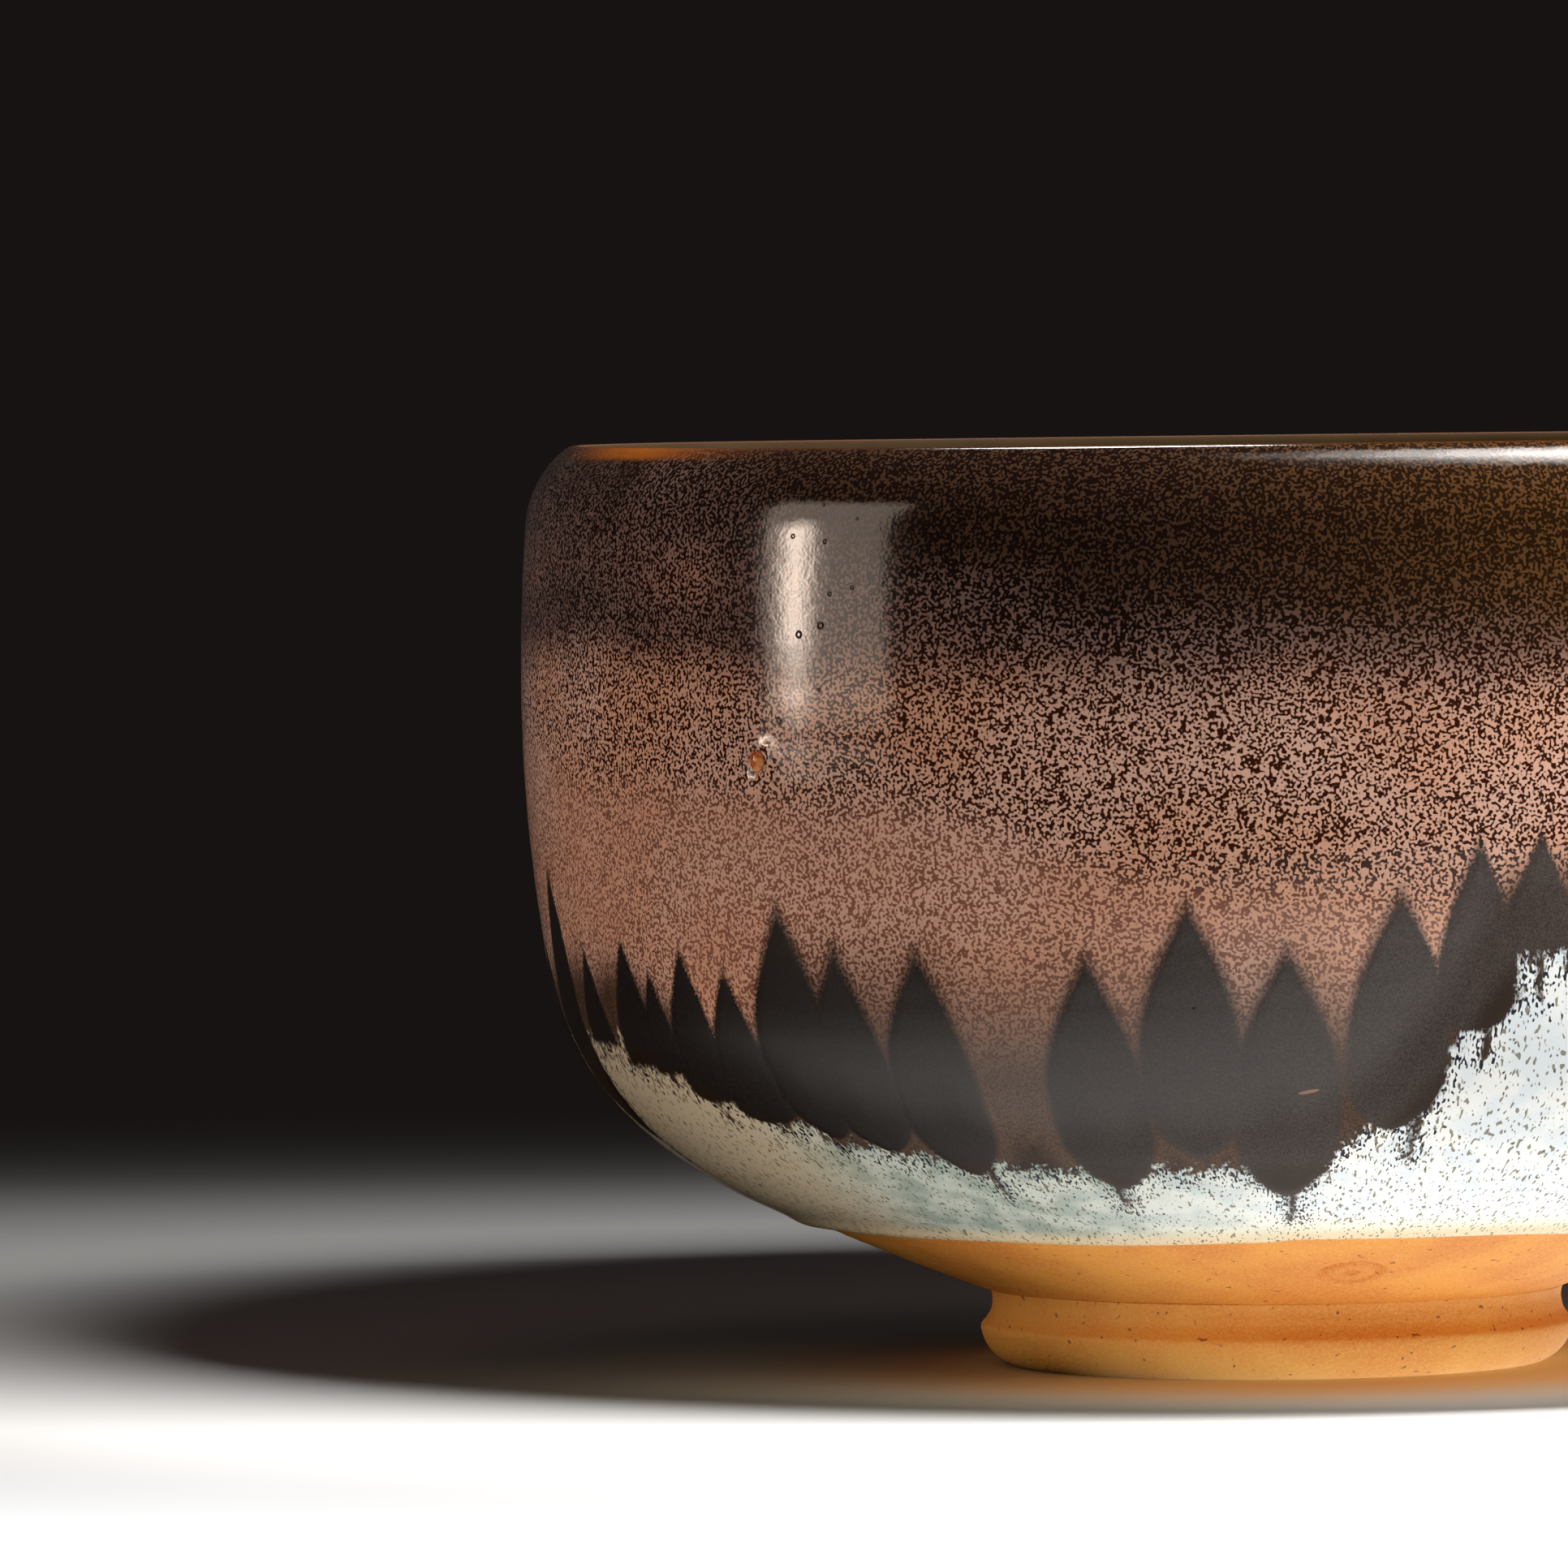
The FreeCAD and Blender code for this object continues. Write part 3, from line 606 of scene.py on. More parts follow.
def make_leaves():
    """Leaves of dark glaze: thin closed plates cut out along their outline, lying in the coat."""
    low_run, high_run = OUTLINE.run_at_height(np.array(LEAF_ZONE))
    runs = np.arange(low_run, high_run, LEAF_ROW)
    azimuth, run = np.broadcast_arrays(AZIMUTHS, runs[:, None])
    depth = leaf_distance(azimuth, run)
    numbers = {}
    places = []

    def number(corner):
        if corner not in numbers:
            numbers[corner] = len(places)
            if isinstance(corner[0], tuple):
                kept, lost = corner
                share = np.clip(depth[kept] / (depth[kept] - depth[lost]), 0.12, 0.88)
                turn = around(azimuth[lost] - azimuth[kept]) * share
                places.append((azimuth[kept] + turn, run[kept] + share * (run[lost] - run[kept])))
            else:
                places.append((azimuth[corner], run[corner]))
        return numbers[corner]

    faces = [[number(corner) for corner in polygon] for polygon in cut_cells(depth)]
    turns, heights = np.array(places).T
    top = place(turns, heights, leaf_lift(turns, heights))
    bottom = place(turns, heights, coat_lift(turns, heights) + SUNK)
    count = len(top)
    edges = {(here, there) for face in faces for here, there in zip(face, face[1:] + face[:1])}
    rim = sorted(edge for edge in edges if edge[::-1] not in edges)
    under = [[corner + count for corner in reversed(face)] for face in faces]
    walls = [[here, here + count, there + count, there] for here, there in rim]
    normals = np.concatenate([normals_of(turns, heights, leaf_lift), np.zeros_like(bottom)])
    values = {name: np.tile(value, 2) for name, value in fields(turns, heights).items()}
    all_faces = faces + under + walls
    share = np.stack([(turns + 180) / 360, (heights - low_run) / (high_run - low_run)], axis=1)
    strips = np.floor(share[:, 0] * 4).clip(0, 3)
    flat = np.stack([share[:, 0] * 4 - strips, (strips + 0.05 + 0.9 * share[:, 1]) / 4], axis=1)
    flat = np.concatenate([flat, np.full_like(flat, MAP_CORNER)])
    uv = flat[np.concatenate([np.array(face) for face in all_faces])]
    return make_mesh("bowl_leaves", np.concatenate([top, bottom]), all_faces, normals, values, uv)


# ---------------------------------------------------------------- clay, foot and bead
SEAL_AZIMUTH, SEAL_DISTANCE = 11.0, 30.6
SEAL_RADIUS, SEAL_GROOVE, SEAL_DOT, SEAL_DEPTH = 2.3, 0.3375, 0.6, 0.5
BARE_CLAY_ROW, HIDDEN_CLAY_ROW = 0.3, 4.6
UNDERSIDE_RADII = [1.5, 16.0, 17.2]  # underside rings: first, last inside the foot ring, first above it


def clay_lift(azimuth, run):
    """Bare clay: turning lines and the pressed seal, a ring around a dot."""
    lines = 0.012 * np.sin(run * 5.2 + 0.6 * np.sin(np.radians(azimuth))) * smooth(run, 0.0, 2.0)
    across = OUTLINE.at(run, OUTLINE.across)
    under = OUTLINE.run < OUTLINE.marks["hip"]
    seal_run = np.interp(SEAL_DISTANCE, OUTLINE.across[under], OUTLINE.run[under])
    aside = across * np.radians(around(azimuth - SEAL_AZIMUTH))
    distance = np.hypot(aside, run - seal_run)
    groove = np.exp(-((distance - SEAL_RADIUS) / SEAL_GROOVE) ** 2)
    dot = smooth(distance, SEAL_DOT * 1.3, SEAL_DOT * 0.5)
    return lines - SEAL_DEPTH * (groove + dot)


def make_clay():
    """Thrown body of the bowl: flat underside, fine bare band, and the rest of the wall under its glaze."""
    first, inner, outer = UNDERSIDE_RADII
    radii = np.concatenate([np.linspace(first, inner, 8), np.linspace(outer, OUTLINE.across[0] - 0.4, 6)])
    underside = turned(radii[:, None], FOOT_HEIGHT + 0.02 * np.sin(radii[:, None] * 2.1))
    band = GLAZE_EDGE + 1.6
    marks = spaced([(band, BARE_CLAY_ROW), (OUTLINE.end - POLE_GAP, HIDDEN_CLAY_ROW)])
    shown, normals, _, _ = surface(marks, clay_lift)
    poles = np.array([[0, 0, FOOT_HEIGHT], [0, 0, OUTLINE.up[-1]]])
    shading = np.concatenate([np.zeros_like(underside), normals])
    bare = np.clip(marks / band, 0, 1)
    heights = np.concatenate([np.full(len(radii), OFF_MAP), np.where(marks > band, 1 - OFF_MAP, bare)])
    return make_turned("bowl_clay", np.concatenate([underside, shown]), 5, poles, shading, heights=heights)


FLARE_RADIUS = high_mm("foot_ring").x
FLARE_HEIGHT = 3.2
NECK_RADIUS, NECK_BEND = 22.95, 2.4
STAND_RADIUS, STAND_WIDTH, FLARE_BEND = 21.3, 2.5, 3.6
FOOT_INNER_RADIUS, FOOT_CHAMFER = 17.4, 1.2


def bulge(low, high, bend, hollow):
    """Points of an arc between two points, bulging away from the axis, or towards it when hollow."""
    low, high = np.array(low), np.array(high)
    half = math.dist(low, high) / 2
    outward = np.array([high[1] - low[1], low[0] - high[0]]) / (2 * half)
    reach = math.sqrt(bend ** 2 - half ** 2) * (1 if hollow else -1)
    centre = (low + high) / 2 + outward * reach
    ends = [math.atan2(*(point - centre)[::-1]) for point in (low, high)]
    if hollow:
        ends = [angle % (2 * math.pi) for angle in ends]
    turn = np.linspace(*ends, 24)
    return centre + bend * np.stack([np.cos(turn), np.sin(turn)], axis=1)


def straight(start, end):
    """Points of a straight line without its ends."""
    count = max(4, int(math.dist(start, end) / 0.3))
    return np.linspace(start, end, count + 2)[1:-1]


def make_foot():
    """Foot ring with a waist, a flare and a rounded edge to stand on, turned on the wheel by hand."""
    stand_inner = STAND_RADIUS - STAND_WIDTH
    flare = bulge((STAND_RADIUS, 0.0), (FLARE_RADIUS, FLARE_HEIGHT), FLARE_BEND, hollow=False)
    neck = bulge((FLARE_RADIUS, FLARE_HEIGHT), (NECK_RADIUS, FOOT_HEIGHT), NECK_BEND, hollow=True)
    profile = np.concatenate([
        flare,
        neck[1:],
        straight((NECK_RADIUS, FOOT_HEIGHT), (FOOT_INNER_RADIUS, FOOT_HEIGHT)),
        [(FOOT_INNER_RADIUS, FOOT_HEIGHT)],
        straight((FOOT_INNER_RADIUS, FOOT_HEIGHT), (FOOT_INNER_RADIUS, FOOT_CHAMFER)),
        straight((FOOT_INNER_RADIUS, FOOT_CHAMFER), (stand_inner, 0.0)),
        [(stand_inner, 0.0)],
        straight((stand_inner, 0.0), (STAND_RADIUS, 0.0)),
    ])
    for _ in range(3):
        softened = (np.roll(profile, 1, axis=0) + 2 * profile + np.roll(profile, -1, axis=0)) / 4
        free = (profile[:, 1] > 0.02) & (profile[:, 1] < FOOT_HEIGHT - 0.02)
        profile = np.where(free[:, None], softened, profile)
    across, up = profile[:, :1], profile[:, 1:]
    share = np.clip(up / FOOT_HEIGHT, 0, 1) * np.clip((FOOT_HEIGHT - up) / 1.5, 0, 1)
    wobble = waves(AZIMUTHS, [(2, 0.10, 0.4), (5, 0.05, 1.9), (9, 0.03, 0.2)])
    lines = 0.02 * np.sin(up * 5.5 + 0.8 * np.sin(np.radians(AZIMUTHS)))
    return make_turned("bowl_foot", turned(across + share * (wobble + lines), up), 4)


BEAD_RADIUS, BEAD_RISE = 0.72, 0.40
BEAD_COLUMNS, BEAD_RINGS = 64, 28


def make_bead():
    """Bead of melted feldspar, a lopsided drop half sunk in the coat."""
    turns = np.linspace(0, 2 * math.pi, BEAD_COLUMNS, endpoint=False)
    tilts = np.linspace(-math.pi / 2, math.pi / 2, BEAD_RINGS + 2)[1:-1]
    tilt, turn = np.meshgrid(tilts, turns, indexing="ij")
    lobes = BEAD_RADIUS * np.cos(tilt) * (1 + 0.12 * np.sin(turn + 0.8) + 0.06 * np.sin(3 * turn + 2 * tilt))
    out = BEAD_RISE * np.sin(tilt) * (1 + 0.15 * np.sin(turn - 0.5) * np.cos(tilt))
    run = OUTLINE.run_at_height(BEAD_HEIGHT)
    azimuth = BEAD_AZIMUTH + np.degrees(lobes * np.cos(turn) / (CLAY_RADIUS + COAT))
    points = place(azimuth, run + 1.12 * lobes * np.sin(turn), COAT + out).reshape(-1, 3)
    rises = np.array([COAT - BEAD_RISE, COAT + BEAD_RISE])
    poles = place(np.full(2, BEAD_AZIMUTH), np.full(2, run), rises)
    end = len(points)
    fans = [pole_fan(end, 0, False, BEAD_COLUMNS), pole_fan(end + 1, end - BEAD_COLUMNS, True, BEAD_COLUMNS)]
    faces = ring_quads(BEAD_RINGS, False, BEAD_COLUMNS).tolist() + np.concatenate(fans).tolist()
    return make_mesh("bowl_bead", np.concatenate([points, poles]), faces)


# ---------------------------------------------------------------- shader nodes
def shade(red, green, blue):
    """Linear colour from the usual 0 to 255 values."""
    parts = [value / 255 for value in (red, green, blue)]
    linear = [part / 12.92 if part < 0.04045 else ((part + 0.055) / 1.055) ** 2.4 for part in parts]
    return (*linear, 1.0)


class Signal:
    """Output of a node. Arithmetic on it adds Math nodes."""

    def __init__(self, graph, socket):
        self.graph = graph
        self.socket = socket

    def __add__(self, other):
        return self.graph.math("ADD", self, other)

    def __sub__(self, other):
        return self.graph.math("SUBTRACT", self, other)

    def __mul__(self, other):
        return self.graph.math("MULTIPLY", self, other)

    def spread(self, amount):
        """The swing of a noise around its middle, times amount."""
        return (self - 0.5) * amount

    def ramp(self, low, high, start=0.0, end=1.0):
        """Even slope from start to end while the signal goes from low to high."""
        return self.graph.add("MapRange", (self, low, high, start, end), interpolation_type="SMOOTHSTEP")

    def mix(self, first, second):
        """First colour turning into the second as the signal goes from 0 to 1."""
        return self.graph.add("Mix", {0: self, 6: first, 7: second}, 2, data_type="RGBA")

    def blend(self, first, second):
        """First shader turning into the second as the signal goes from 0 to 1."""
        return self.graph.add("MixShader", (self, first, second))


class Graph:
    """Node tree that is built from the outputs of its nodes."""

    def __init__(self, tree):
        self.tree = tree

    def link(self, socket, value):
        """Sets an input from a number, a colour or a signal."""
        if isinstance(value, Signal):
            self.tree.links.new(value.socket, socket)
        else:
            socket.default_value = value

    def add(self, kind, inputs=(), output=0, **settings):
        """Output of a new node. Its inputs are given in order, or by name or number."""
        node = self.tree.nodes.new("ShaderNode" + kind)
        for name, value in settings.items():
            setattr(node, name, value)
        for key, value in inputs.items() if isinstance(inputs, dict) else enumerate(inputs):
            self.link(node.inputs[key], value)
        return Signal(self, node.outputs[output])

    def math(self, operation, first, second, clamp=False):
        return self.add("Math", (first, second), operation=operation, use_clamp=clamp)

    def vector(self, operation, *inputs):
        return self.add("VectorMath", inputs, operation=operation)

    def scaled(self, vector, factor):
        return self.add("VectorMath", {0: vector, 3: factor}, operation="SCALE")

    def distance(self, here, there):
        return self.add("VectorMath", (here, there), "Value", operation="DISTANCE")


class Paint(Graph):
    """Nodes of one material of the bowl. Lengths inside it are millimetres."""

    def __init__(self, name):
        self.material = bpy.data.materials.new(name)
        self.material.use_nodes = True
        super().__init__(self.material.node_tree)
        self.surface = self.tree.nodes["Principled BSDF"]
        self.spot = self.scaled(self.add("TexCoord", output="Object"), 1 / MM)

    def field(self, name):
        """Painted value of the mesh."""
        return self.add("Attribute", output="Fac", attribute_name=name)

    def noise(self, scale, detail=0.0, rough=0.5, spot=None):
        """Noise of so many bumps per millimetre, 0 to 1 around 0.5."""
        inputs = {"Vector": spot or self.spot, "Scale": scale, "Detail": detail, "Roughness": rough}
        return self.add("TexNoise", inputs)

    def unrolled(self, stretch):
        """Place on the outline unrolled onto a cylinder, so that patterns run down the curved wall."""
        level = self.vector("MULTIPLY", self.spot, (1.0, 1.0, 0.0))
        ring = self.scaled(self.vector("NORMALIZE", level), CLAY_RADIUS * 0.8)
        return self.vector("ADD", ring, self.add("CombineXYZ", {"Z": self.field("run") * stretch}))

    def crystals(self, scale, spot):
        """Mean of two noises: rounded blobs and worms without a direction."""
        elsewhere = self.vector("ADD", spot, (31.0, 17.0, 5.0))
        return (self.noise(scale, spot=spot) + self.noise(scale, spot=elsewhere)) * 0.5

    def finish(self, colour, rough, relief, **settings):
        """Material with this colour, roughness and relief, the relief in millimetres."""
        normal = self.add("Bump", {"Distance": MM, "Height": relief})
        inputs = {"Base Color": colour, "Roughness": rough, "Normal": normal, **settings}
        for name, value in inputs.items():
            self.link(self.surface.inputs[name], value)
        return self.material


# ---------------------------------------------------------------- glazes
ROSE, PALE_ROSE = shade(220, 167, 140), shade(224, 180, 161)
SMOKE, PALE_SMOKE = shade(68, 48, 35), shade(122, 97, 90)
SOOT, UMBER, RUST, PALE_SPOT = shade(26, 14, 10), shade(40, 24, 10), shade(56, 24, 12), shade(146, 98, 80)
HONEY, AMBER, DEEP_AMBER = shade(98, 64, 30), shade(168, 92, 26), shade(132, 66, 16)
OLIVE, PALE_OLIVE = shade(38, 27, 10), shade(58, 42, 20)
BROWN, PALE_BROWN, DARK_BROWN = shade(58, 43, 33), shade(88, 66, 52), shade(46, 30, 19)
SEA_ASH, GREY_ASH, PEACH_ASH = shade(158, 172, 162), shade(194, 202, 192), shade(208, 192, 164)
COLD_WHITE, WHITE, WARM_WHITE = shade(232, 242, 248), shade(248, 252, 252), shade(246, 246, 228)
CREAM, EDGE_LINE = shade(232, 208, 168), shade(88, 78, 50)
NAVY, GREY_MOSS, MOSS = shade(28, 32, 48), shade(92, 94, 74), shade(104, 92, 52)
# Shaded and lit copies of the leaf charcoal: painted shade on the left side, painted light on the right.
DIM_LEAF = (shade(26, 21, 19), shade(40, 34, 31))
LIT_LEAF = (shade(54, 47, 44), shade(82, 71, 67))
# Last on this line: the dark painted into each pinhole as the shade inside it; the leaf ends and the scratch
# are the glaze's own colours.
LEAF_END, SCRATCHED, PIT_SHADE = shade(44, 30, 20), shade(150, 110, 92), shade(26, 16, 10)

SCRATCH = ((1.8, 24.6), (3.6, 24.9))  # azimuth and height of the ends of a pale scratch
PITS = [  # azimuth, height and radius of the pinholes in the glaze
    (-37.8, 67.0, 0.22), (-34.8, 66.6, 0.22), (-35.2, 69.3, 0.15), (-32.0, 68.3, 0.15), (-32.2, 63.1, 0.20),
    (-34.2, 62.6, 0.22), (-35.0, 60.2, 0.36), (-37.0, 59.5, 0.34), (-40.5, 55.4, 0.26), (-35.2, 55.3, 0.18),
    (-39.0, 52.9, 0.36), (-29.5, 63.5, 0.15), (-27.7, 34.2, 0.18), (-6.0, 31.2, 0.18), (52.0, 58.0, 0.25),
    (97.0, 51.0, 0.3), (141.0, 62.0, 0.22), (-118.0, 47.0, 0.28),
]


def on_coat(azimuth, height):
    """Point of the outer face of the glaze, in millimetres."""
    return tuple(place(azimuth, OUTLINE.run_at_height(height), COAT))


def pit_depth(paint):
    """1 in the middle of each pinhole, 0 outside."""
    total = 0.0
    for azimuth, height, radius in PITS:
        away = paint.distance(paint.spot, on_coat(azimuth, height))
        total = paint.math("ADD", total, away.ramp(radius, radius * 0.35))
    return total


def scratch_share(paint):
    """1 on the scratch: where the ways to its two ends add up to hardly more than its length."""
    ends = [on_coat(*end) for end in SCRATCH]
    way = paint.distance(paint.spot, ends[0]) + paint.distance(paint.spot, ends[1])
    return (way - math.dist(*ends)).ramp(0.05, 0.015)


def mottle_colour(paint, slow, cells):
    """Rose ground and its dark spots, which grow and merge upwards; olive inside, amber on the lip, painted
    brighter at its left as light shining through the thin glaze.
    """
    rose = paint.field("rose")
    amber = paint.field("amber")
    cloudy = paint.math("ADD", rose, slow.spread(0.35), clamp=True)
    level = cloudy.ramp(0.0, 1.0, 0.530, 0.485) + paint.noise(0.9, 1.0).spread(0.06)
    ground = paint.noise(0.07, 1.0).ramp(0.4, 0.62).mix(ROSE, PALE_ROSE)
    smoky = cloudy.ramp(0.05, 0.40).mix(SMOKE, PALE_SMOKE)
    ground = cloudy.ramp(0.35, 0.95).mix(smoky, ground)
    ground = (amber * 0.8).mix(ground, HONEY)
    dark = rose.ramp(0.2, 0.9).mix(amber.mix(SOOT, UMBER), RUST)
    pale = paint.field("haze") * slow.ramp(0.3, 0.6, 0.7, 1.0)
    mottle = (cells - level).ramp(-0.045, 0.055).mix(pale.mix(dark, PALE_SPOT), ground)
    mottle = paint.field("inner").mix(mottle, slow.mix(OLIVE, PALE_OLIVE))
    return paint.field("rim").mix(mottle, slow.mix(AMBER, DEEP_AMBER))


def ash_colour(paint, slow, torn):
    """White ash, thin on the left and painted darker there as shade, whiter on the lit right as painted
    light, with dots that thin out downwards and cream above the bare clay.
    """
    edge = paint.field("edge")
    clots = paint.noise(0.35, 1.5).ramp(0.40, 0.62)
    thin = paint.field("peach").mix(clots.mix(SEA_ASH, GREY_ASH), PEACH_ASH)
    thick = edge.ramp(7.0, 2.5).mix(clots.mix(COLD_WHITE, WHITE), WARM_WHITE)
    # Painted light and shade: the ash is whiter on the lit right and darker on the shaded left, besides its
    # real thickness.
    white = (paint.field("thick_ash_and_light") + slow.spread(0.5)).ramp(0.05, 0.80).mix(thin, thick)
    cream = edge.ramp(4.0, 0.6).mix(white, CREAM)
    flow = paint.crystals(6.0, paint.unrolled(0.40))
    dots = (flow - torn.ramp(-0.8, 4.2, 0.50, 0.31)).ramp(0.04, -0.03)
    sparse = paint.crystals(3.8, paint.unrolled(0.45)).ramp(0.370, 0.345)
    dot_colour = sparse.mix(torn.ramp(2.0, 6.0).mix(NAVY, GREY_MOSS), MOSS)
    return paint.math("MAXIMUM", dots, sparse * 0.8).mix(cream, dot_colour)


def leaf_colour(paint, fine):
    """Charcoal with a fine grain, painted darker on the shaded left and lighter on the lit right, brown where
    a leaf runs down below the ash line.
    """
    grain = paint.noise(6.5, 1.0).ramp(0.30, 0.72)
    # Painted shade and light: shaded leaf colours on the left side, lit ones on the right.
    charcoal = paint.field("thick_ash_and_light").mix(grain.mix(*DIM_LEAF), grain.mix(*LIT_LEAF))
    sinking = paint.field("line") + fine.ramp(0.3, 0.7, -0.6, 0.6)
    return sinking.ramp(-1.0, 2.6).mix(charcoal, LEAF_END)


def leaf_share(paint, fine, ash):
    """0 outside the leaves and 1 inside; the edge is sharp below and softer towards the tips."""
    above = ash * -1.0
    reach = above.ramp(10.0, 17.0, 0.1, 0.6)
    softness = above.ramp(10.0, 17.0, 0.45, 1.2)
    return paint.math("DIVIDE", paint.field("leaf") + fine.spread(0.7) + reach, softness, clamp=True)


def glaze_material(name):
    """Crystal glaze: rose ground broken by dark spots, dark leaves, and white ash near the foot."""
    paint = Paint(name)
    leaf, ash, line, inner = (paint.field(field) for field in ("leaf", "ash", "line", "inner"))
    cells = paint.crystals(4.0, paint.spot)
    fine = paint.noise(5.5, 1.0)
    slow = paint.noise(0.11, 2.0)
    streaks = paint.noise(1.5, 1.5, spot=paint.vector("MULTIPLY", paint.spot, (1.0, 1.0, 0.28)))
    torn = ash + streaks.spread(5.0)
    pits = pit_depth(paint)

    calm = fine.ramp(0.35, 0.6).mix(BROWN, PALE_BROWN)
    colour = paint.field("gap").mix(mottle_colour(paint, slow, cells), calm)
    colour = (torn.ramp(-5.4, -1.6) * leaf.ramp(-0.2, -2.4)).mix(colour, DARK_BROWN)
    colour = torn.ramp(-0.7, 0.5).mix(colour, ash_colour(paint, slow, torn))
    colour = leaf_share(paint, fine, ash).mix(colour, leaf_colour(paint, fine))
    colour = paint.field("edge").ramp(0.5, 0.15).mix(colour, EDGE_LINE)
    colour = scratch_share(paint).mix(colour, SCRATCHED)
    # Painted shade: each pinhole is painted dark for the shade inside the hole.
    colour = pits.mix(colour, PIT_SHADE)

    rough = paint.math("MAXIMUM", leaf.ramp(0.0, 0.6, 0.10, 0.30), inner.ramp(0.0, 1.0, 0.10, 0.75))
    shine = paint.math("MINIMUM", line.ramp(-9.0, -3.0, 0.5, 0.15), inner.ramp(0.0, 1.0, 0.5, 0.06))
    relief = paint.noise(0.9, 1.0) * 0.010 + cells * 0.006 - pits * 0.12
    return paint.finish(colour, rough, relief, **{"Specular IOR Level": shine})


# ---------------------------------------------------------------- clay and bead
BAND_CLAY = (shade(228, 146, 46), shade(214, 122, 32))
FOOT_CLAY = (shade(232, 162, 66), shade(224, 142, 50))
SAND, IRON_SPECK = shade(240, 182, 96), shade(150, 86, 36)
BEAD_AMBER, BEAD_STRAW = shade(168, 70, 20), shade(218, 146, 84)


def clay_material(name, light, deep):
    """Bare sandy stoneware with iron specks, in patches of two ochres."""
    paint = Paint(name)
    grain = paint.noise(4.5, 3.0, 0.7)
    body = paint.noise(0.12, 2.0).ramp(0.35, 0.65).mix(light, deep)
    body = grain.ramp(0.35, 0.75, 0.0, 0.6).mix(body, SAND)
    specks = paint.noise(1.6, 1.0).ramp(0.70, 0.76)
    relief = grain * 0.07 + paint.noise(2.2, 2.0, 0.6) * 0.10
    return paint.finish(specks.mix(body, IRON_SPECK), 0.62, relief)


def bead_material(name):
    """Glassy amber drop."""
    paint = Paint(name)
    colour = paint.noise(1.4, 1.0).ramp(0.4, 0.6).mix(BEAD_AMBER, BEAD_STRAW)
    return paint.finish(colour, 0.08, paint.noise(3.0) * 0.01)


# ---------------------------------------------------------------- floor and backdrop
BACKDROP = shade(22, 19, 18)
STUDIO_GREY = (0.016, 0.015, 0.015, 1.0)
PALE_FLOOR = (0.82, 0.81, 0.80, 1.0)
PAINTED_GLARE = (1.1, 1.1, 1.1, 1.0)
PAINTED_BOUNCE = (1.0, 0.96, 0.91, 1.0)
FLOOR_RADIUS, FLOOR_CORNERS = 2.2, 96

# Painted falloff: how much of the light on the floor is seen, by metres behind the bowl; the rest is painted
# in the backdrop's dark colour.
FADE = [(-0.05, 1.0), (0.04, 0.76), (0.14, 0.74), (0.20, 0.78), (0.26, 0.13), (0.34, 0.0), (0.42, 0.0)]
# Y in metres where the floor in front turns into painted glare, a white emission instead of lit floor, and
# its share.
AHEAD = (-0.07, -0.16, 0.0, 1.0)
# Where the bowl sees the floor glowing as a painted pool of light, and where in a painted shadow of its own:
# centre, then inner and outer radius with the brightness at each.
PAINTED_GLOW = ((0.085, -0.05, 0.0), (0.08, 0.23, 1.36, 0.01))
PAINTED_SHADOW = ((-0.045, 0.030, 0.0), (0.050, 0.082, 0.0, 1.0))


def make_floor():
    """Round pale floor, in a collection of its own for the light that only it gets."""
    turns = np.linspace(0, 2 * math.pi, FLOOR_CORNERS, endpoint=False)
    points = [(FLOOR_RADIUS * math.cos(turn), FLOOR_RADIUS * math.sin(turn), 0.0) for turn in turns]
    mesh = bpy.data.meshes.new("floor")
    mesh.from_pydata(points, [], [range(FLOOR_CORNERS)])
    mesh.materials.append(floor_material())
    floor = bpy.data.objects.new("floor", mesh)
    bpy.context.scene.collection.objects.link(floor)
    ground = bpy.data.collections.new("ground")
    ground.objects.link(floor)
    return ground


def camera_depth(graph, point):
    """Distance of a point in front of the camera."""
    from_camera = graph.add("VectorTransform", (point,), vector_type="POINT", convert_from="WORLD",
                            convert_to="CAMERA")
    return graph.math("ABSOLUTE", graph.add("SeparateXYZ", (from_camera,), "Z"), 0.0)


def fade_away(graph, behind):
    """Share of the floor's light that is seen, by the distance behind the bowl: a painted falloff."""
    start, end = FADE[0][0], FADE[-1][0]
    fade = graph.add("ValToRGB", (graph.add("MapRange", (behind, start, end, 0.0, 1.0)),))
    band = fade.socket.node.color_ramp
    band.interpolation = "B_SPLINE"
    while len(band.elements) < len(FADE):
        band.elements.new(0.5)
    for stop, (distance, share) in zip(band.elements, FADE):
        stop.position = (distance - start) / (end - start)
        stop.color = (share, share, share, 1.0)
    return fade


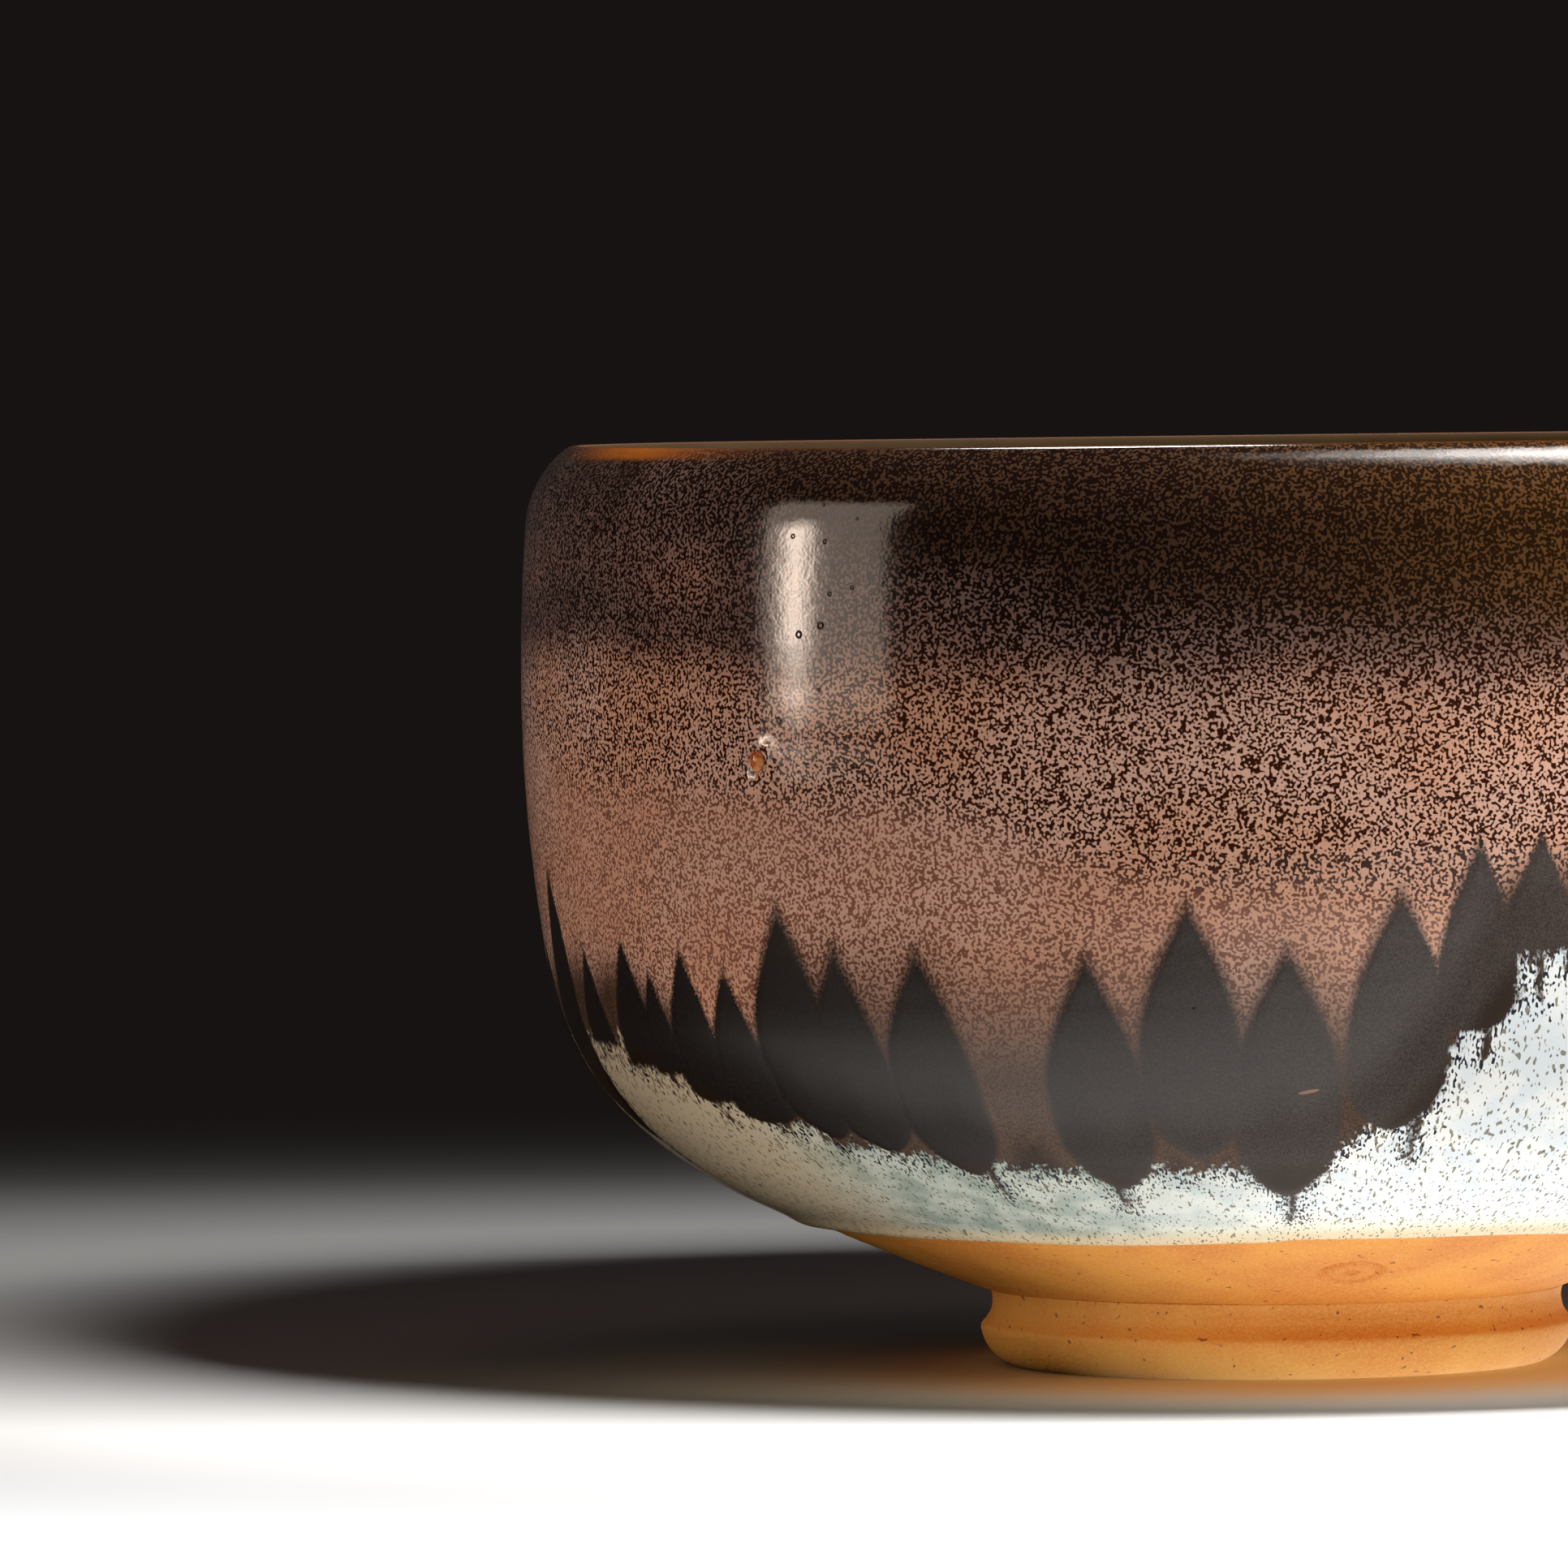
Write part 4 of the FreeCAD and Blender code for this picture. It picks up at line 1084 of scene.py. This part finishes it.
def floor_material():
    """Pale matt floor that dies away into the dark by a painted falloff, with painted glare in front; to the
    bowl it is
    only an emission: a painted pool of light beside a painted shadow.
    """
    material = bpy.data.materials.new("pale_floor")
    material.use_nodes = True
    material.node_tree.nodes.clear()
    graph = Graph(material.node_tree)
    here = graph.add("NewGeometry", output="Position")
    behind = camera_depth(graph, here) - camera_depth(graph, (0.0, 0.0, 0.0))
    matt = graph.add("BsdfDiffuse", {"Color": PALE_FLOOR})
    # Painted glare: in front the floor is a white emission, not a lit floor.
    white = graph.add("Emission", {"Color": PAINTED_GLARE})
    near = graph.add("SeparateXYZ", (here,), "Y").ramp(*AHEAD).blend(matt, white)
    # Painted falloff: farther back the floor is painted in the backdrop's dark colour.
    shown = fade_away(graph, behind).blend(graph.add("Emission", {"Color": BACKDROP}), near)
    pool, shadow = (graph.distance(here, centre).ramp(*edges) for centre, edges in (PAINTED_GLOW, PAINTED_SHADOW))
    # Painted light for the bowl: the floor glows as an emission pool, with a painted shadow beside the foot.
    painted_bounce = graph.add("Emission", {"Color": PAINTED_BOUNCE, "Strength": pool * shadow})
    seen = graph.add("LightPath", output="Is Camera Ray")
    output = graph.tree.nodes.new("ShaderNodeOutputMaterial")
    graph.link(output.inputs["Surface"], seen.blend(painted_bounce, shown))
    return material


def make_world():
    """Dark studio: the camera sees the backdrop, the bowl a little grey light from all around."""
    world = bpy.data.worlds.new("studio")
    bpy.context.scene.world = world
    world.use_nodes = True
    graph = Graph(world.node_tree)
    seen = graph.add("LightPath", output="Is Camera Ray")
    graph.link(graph.tree.nodes["Background"].inputs["Color"], seen.mix(STUDIO_GREY, BACKDROP))


# ---------------------------------------------------------------- lights and camera
AIM = Vector((0.0, 0.0, 0.045))
DAYLIGHT, WARM, COOL = (1.0, 0.97, 0.94), (1.0, 0.80, 0.66), (0.95, 0.97, 1.0)
SOFTBOX_ROLL = math.radians(4.0)
CORE_WATTS = (0.08, 0.06, 0.04, 0.025)


def make_light(name, at, size, watts, colour, only):
    """Soft rectangular light aimed at the bowl; at is its azimuth, elevation and distance."""
    light = bpy.data.lights.new(name, "AREA")
    light.shape = "RECTANGLE"
    light.size, light.size_y = size
    light.energy = watts
    light.color = colour
    lamp = bpy.data.objects.new(name, light)
    azimuth, elevation, distance = math.radians(at[0]), math.radians(at[1]), at[2]
    ray = Vector((math.sin(azimuth) * math.cos(elevation), -math.cos(azimuth) * math.cos(elevation),
                  math.sin(elevation)))
    lamp.location = AIM + ray * distance
    lamp.rotation_mode = "QUATERNION"
    lamp.rotation_quaternion = (-ray).to_track_quat("-Z", "Y")
    lamp.visible_camera = False
    bpy.context.scene.collection.objects.link(lamp)
    lamp.light_linking.receiver_collection = only
    return lamp


def mirrored(azimuth, tilt):
    """Azimuth and elevation of a light that a facet facing that way shows to the camera."""
    turn, rise = math.radians(azimuth), math.radians(tilt)
    facing = Vector((math.sin(turn) * math.cos(rise), -math.cos(turn) * math.cos(rise), math.sin(rise)))
    viewer = Vector((0.0, -1.0, 0.03))
    ray = 2 * viewer.dot(facing) * facing - viewer
    return math.degrees(math.atan2(ray.x, -ray.y)), math.degrees(math.asin(ray.z / ray.length))


def make_softbox(bowl):
    """Softbox on the left that the wall mirrors: two panels, and ellipses that brighten its middle."""
    for height, distance, watts in [(0.30, 0.464, 0.22), (0.25, 0.460, 0.16)]:
        panel = make_light("softbox", (-68.2, 13.5, distance), (0.18, height), watts, WARM, bowl)
        panel.rotation_quaternion = panel.rotation_quaternion @ Quaternion((0.0, 0.0, 1.0), SOFTBOX_ROLL)
    for layer, watts in enumerate(CORE_WATTS):
        size = (0.062 - 0.014 * layer, 0.17 - 0.036 * layer)
        core = make_light("softbox_core", (-72.2, 6.6, 0.455 - 0.004 * layer), size, watts, WARM, bowl)
        core.data.shape = "ELLIPSE"


def make_lights(bowl, ground):
    """Lamp for the floor, key from the right, softbox, a row that the lip mirrors, weak light behind."""
    make_light("floor_key", (19.6, 62.5, 0.12), (0.072, 0.031), 0.71, (1.0, 0.98, 0.96), ground)
    make_light("key", (72.0, 56.0, 0.9), (0.62, 0.46), 18.0, DAYLIGHT, bowl).visible_glossy = False
    make_softbox(bowl)
    for azimuth in np.arange(-6.0, 40.0, 5.0):
        watts = 1.7 * smooth(azimuth, -6.0, 28.0) ** 2.0
        lamp = make_light("rim_light", (*mirrored(azimuth, 42.0), 0.9), (0.22, 0.36), watts, DAYLIGHT, bowl)
        lamp.visible_diffuse = False
    make_light("back", (-172.0, 50.0, 0.9), (0.16, 0.22), 1.6, COOL, bowl).visible_diffuse = False
    for azimuth in (-130.0, 140.0):
        make_light("back_fill", (azimuth, 35.0, 0.9), (0.4, 0.4), 3.5, COOL, bowl).visible_glossy = False


def make_camera():
    """Long lens at the height of the lip, a touch turned, tipped and rolled."""
    data = bpy.data.cameras.new("camera")
    data.sensor_width = 36.0
    data.lens = 315.5
    camera = bpy.data.objects.new("camera", data)
    yaw, pitch, roll = math.radians(2.033), math.radians(1.819), math.radians(-0.609)
    ahead = Vector((-math.sin(yaw) * math.cos(pitch), math.cos(yaw) * math.cos(pitch), -math.sin(pitch)))
    level = Vector((math.cos(yaw), math.sin(yaw), 0.0))
    upright = level.cross(ahead)
    right = math.cos(roll) * level + math.sin(roll) * upright
    up = -math.sin(roll) * level + math.cos(roll) * upright
    turned = Matrix((right, up, -ahead)).transposed().to_4x4()
    camera.matrix_world = Matrix.Translation((0.0, -1.100, 0.0815)) @ turned
    data.clip_start, data.clip_end = 0.05, 10.0
    bpy.context.scene.collection.objects.link(camera)
    bpy.context.scene.camera = camera


# ---------------------------------------------------------------- assembly
def dress(piece, material, node):
    """Gives a piece its material and puts it in the place of its CAD node."""
    piece.data.materials.append(material)
    bowl.objects.link(piece)
    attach(piece, "root")
    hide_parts(node)


bowl = bpy.data.collections.new("bowl")
lower = make_coat("bowl_lower_coat", edge_run, border_run, LOWER_ZONES, 5)
upper = make_coat("bowl_upper_coat", border_run, lip_run, UPPER_ZONES, 3)
lip = make_coat("bowl_lip_coat", lip_run, liner_join, LIP_ZONES, 9)
liner = make_liner()
dress(lower, glaze_material("ash_glaze"), "lower_glaze")
dress(upper, glaze_material("rose_brown_glaze"), "upper_glaze")
dress(make_leaves(), glaze_material("charcoal_glaze"), "leaf_glaze")
dress(lip, glaze_material("amber_glaze"), "lip_glaze")
dress(liner, glaze_material("liner_glaze"), "inner_glaze")
dress(make_clay(), clay_material("bare_clay", *BAND_CLAY), "clay_body")
dress(make_foot(), clay_material("bare_clay_foot", *FOOT_CLAY), "foot_ring")
dress(make_bead(), bead_material("feldspar"), "stone_bead")
ground = make_floor()
make_world()
make_lights(bowl, ground)
make_camera()
bpy.context.scene.view_settings.view_transform = "Standard"
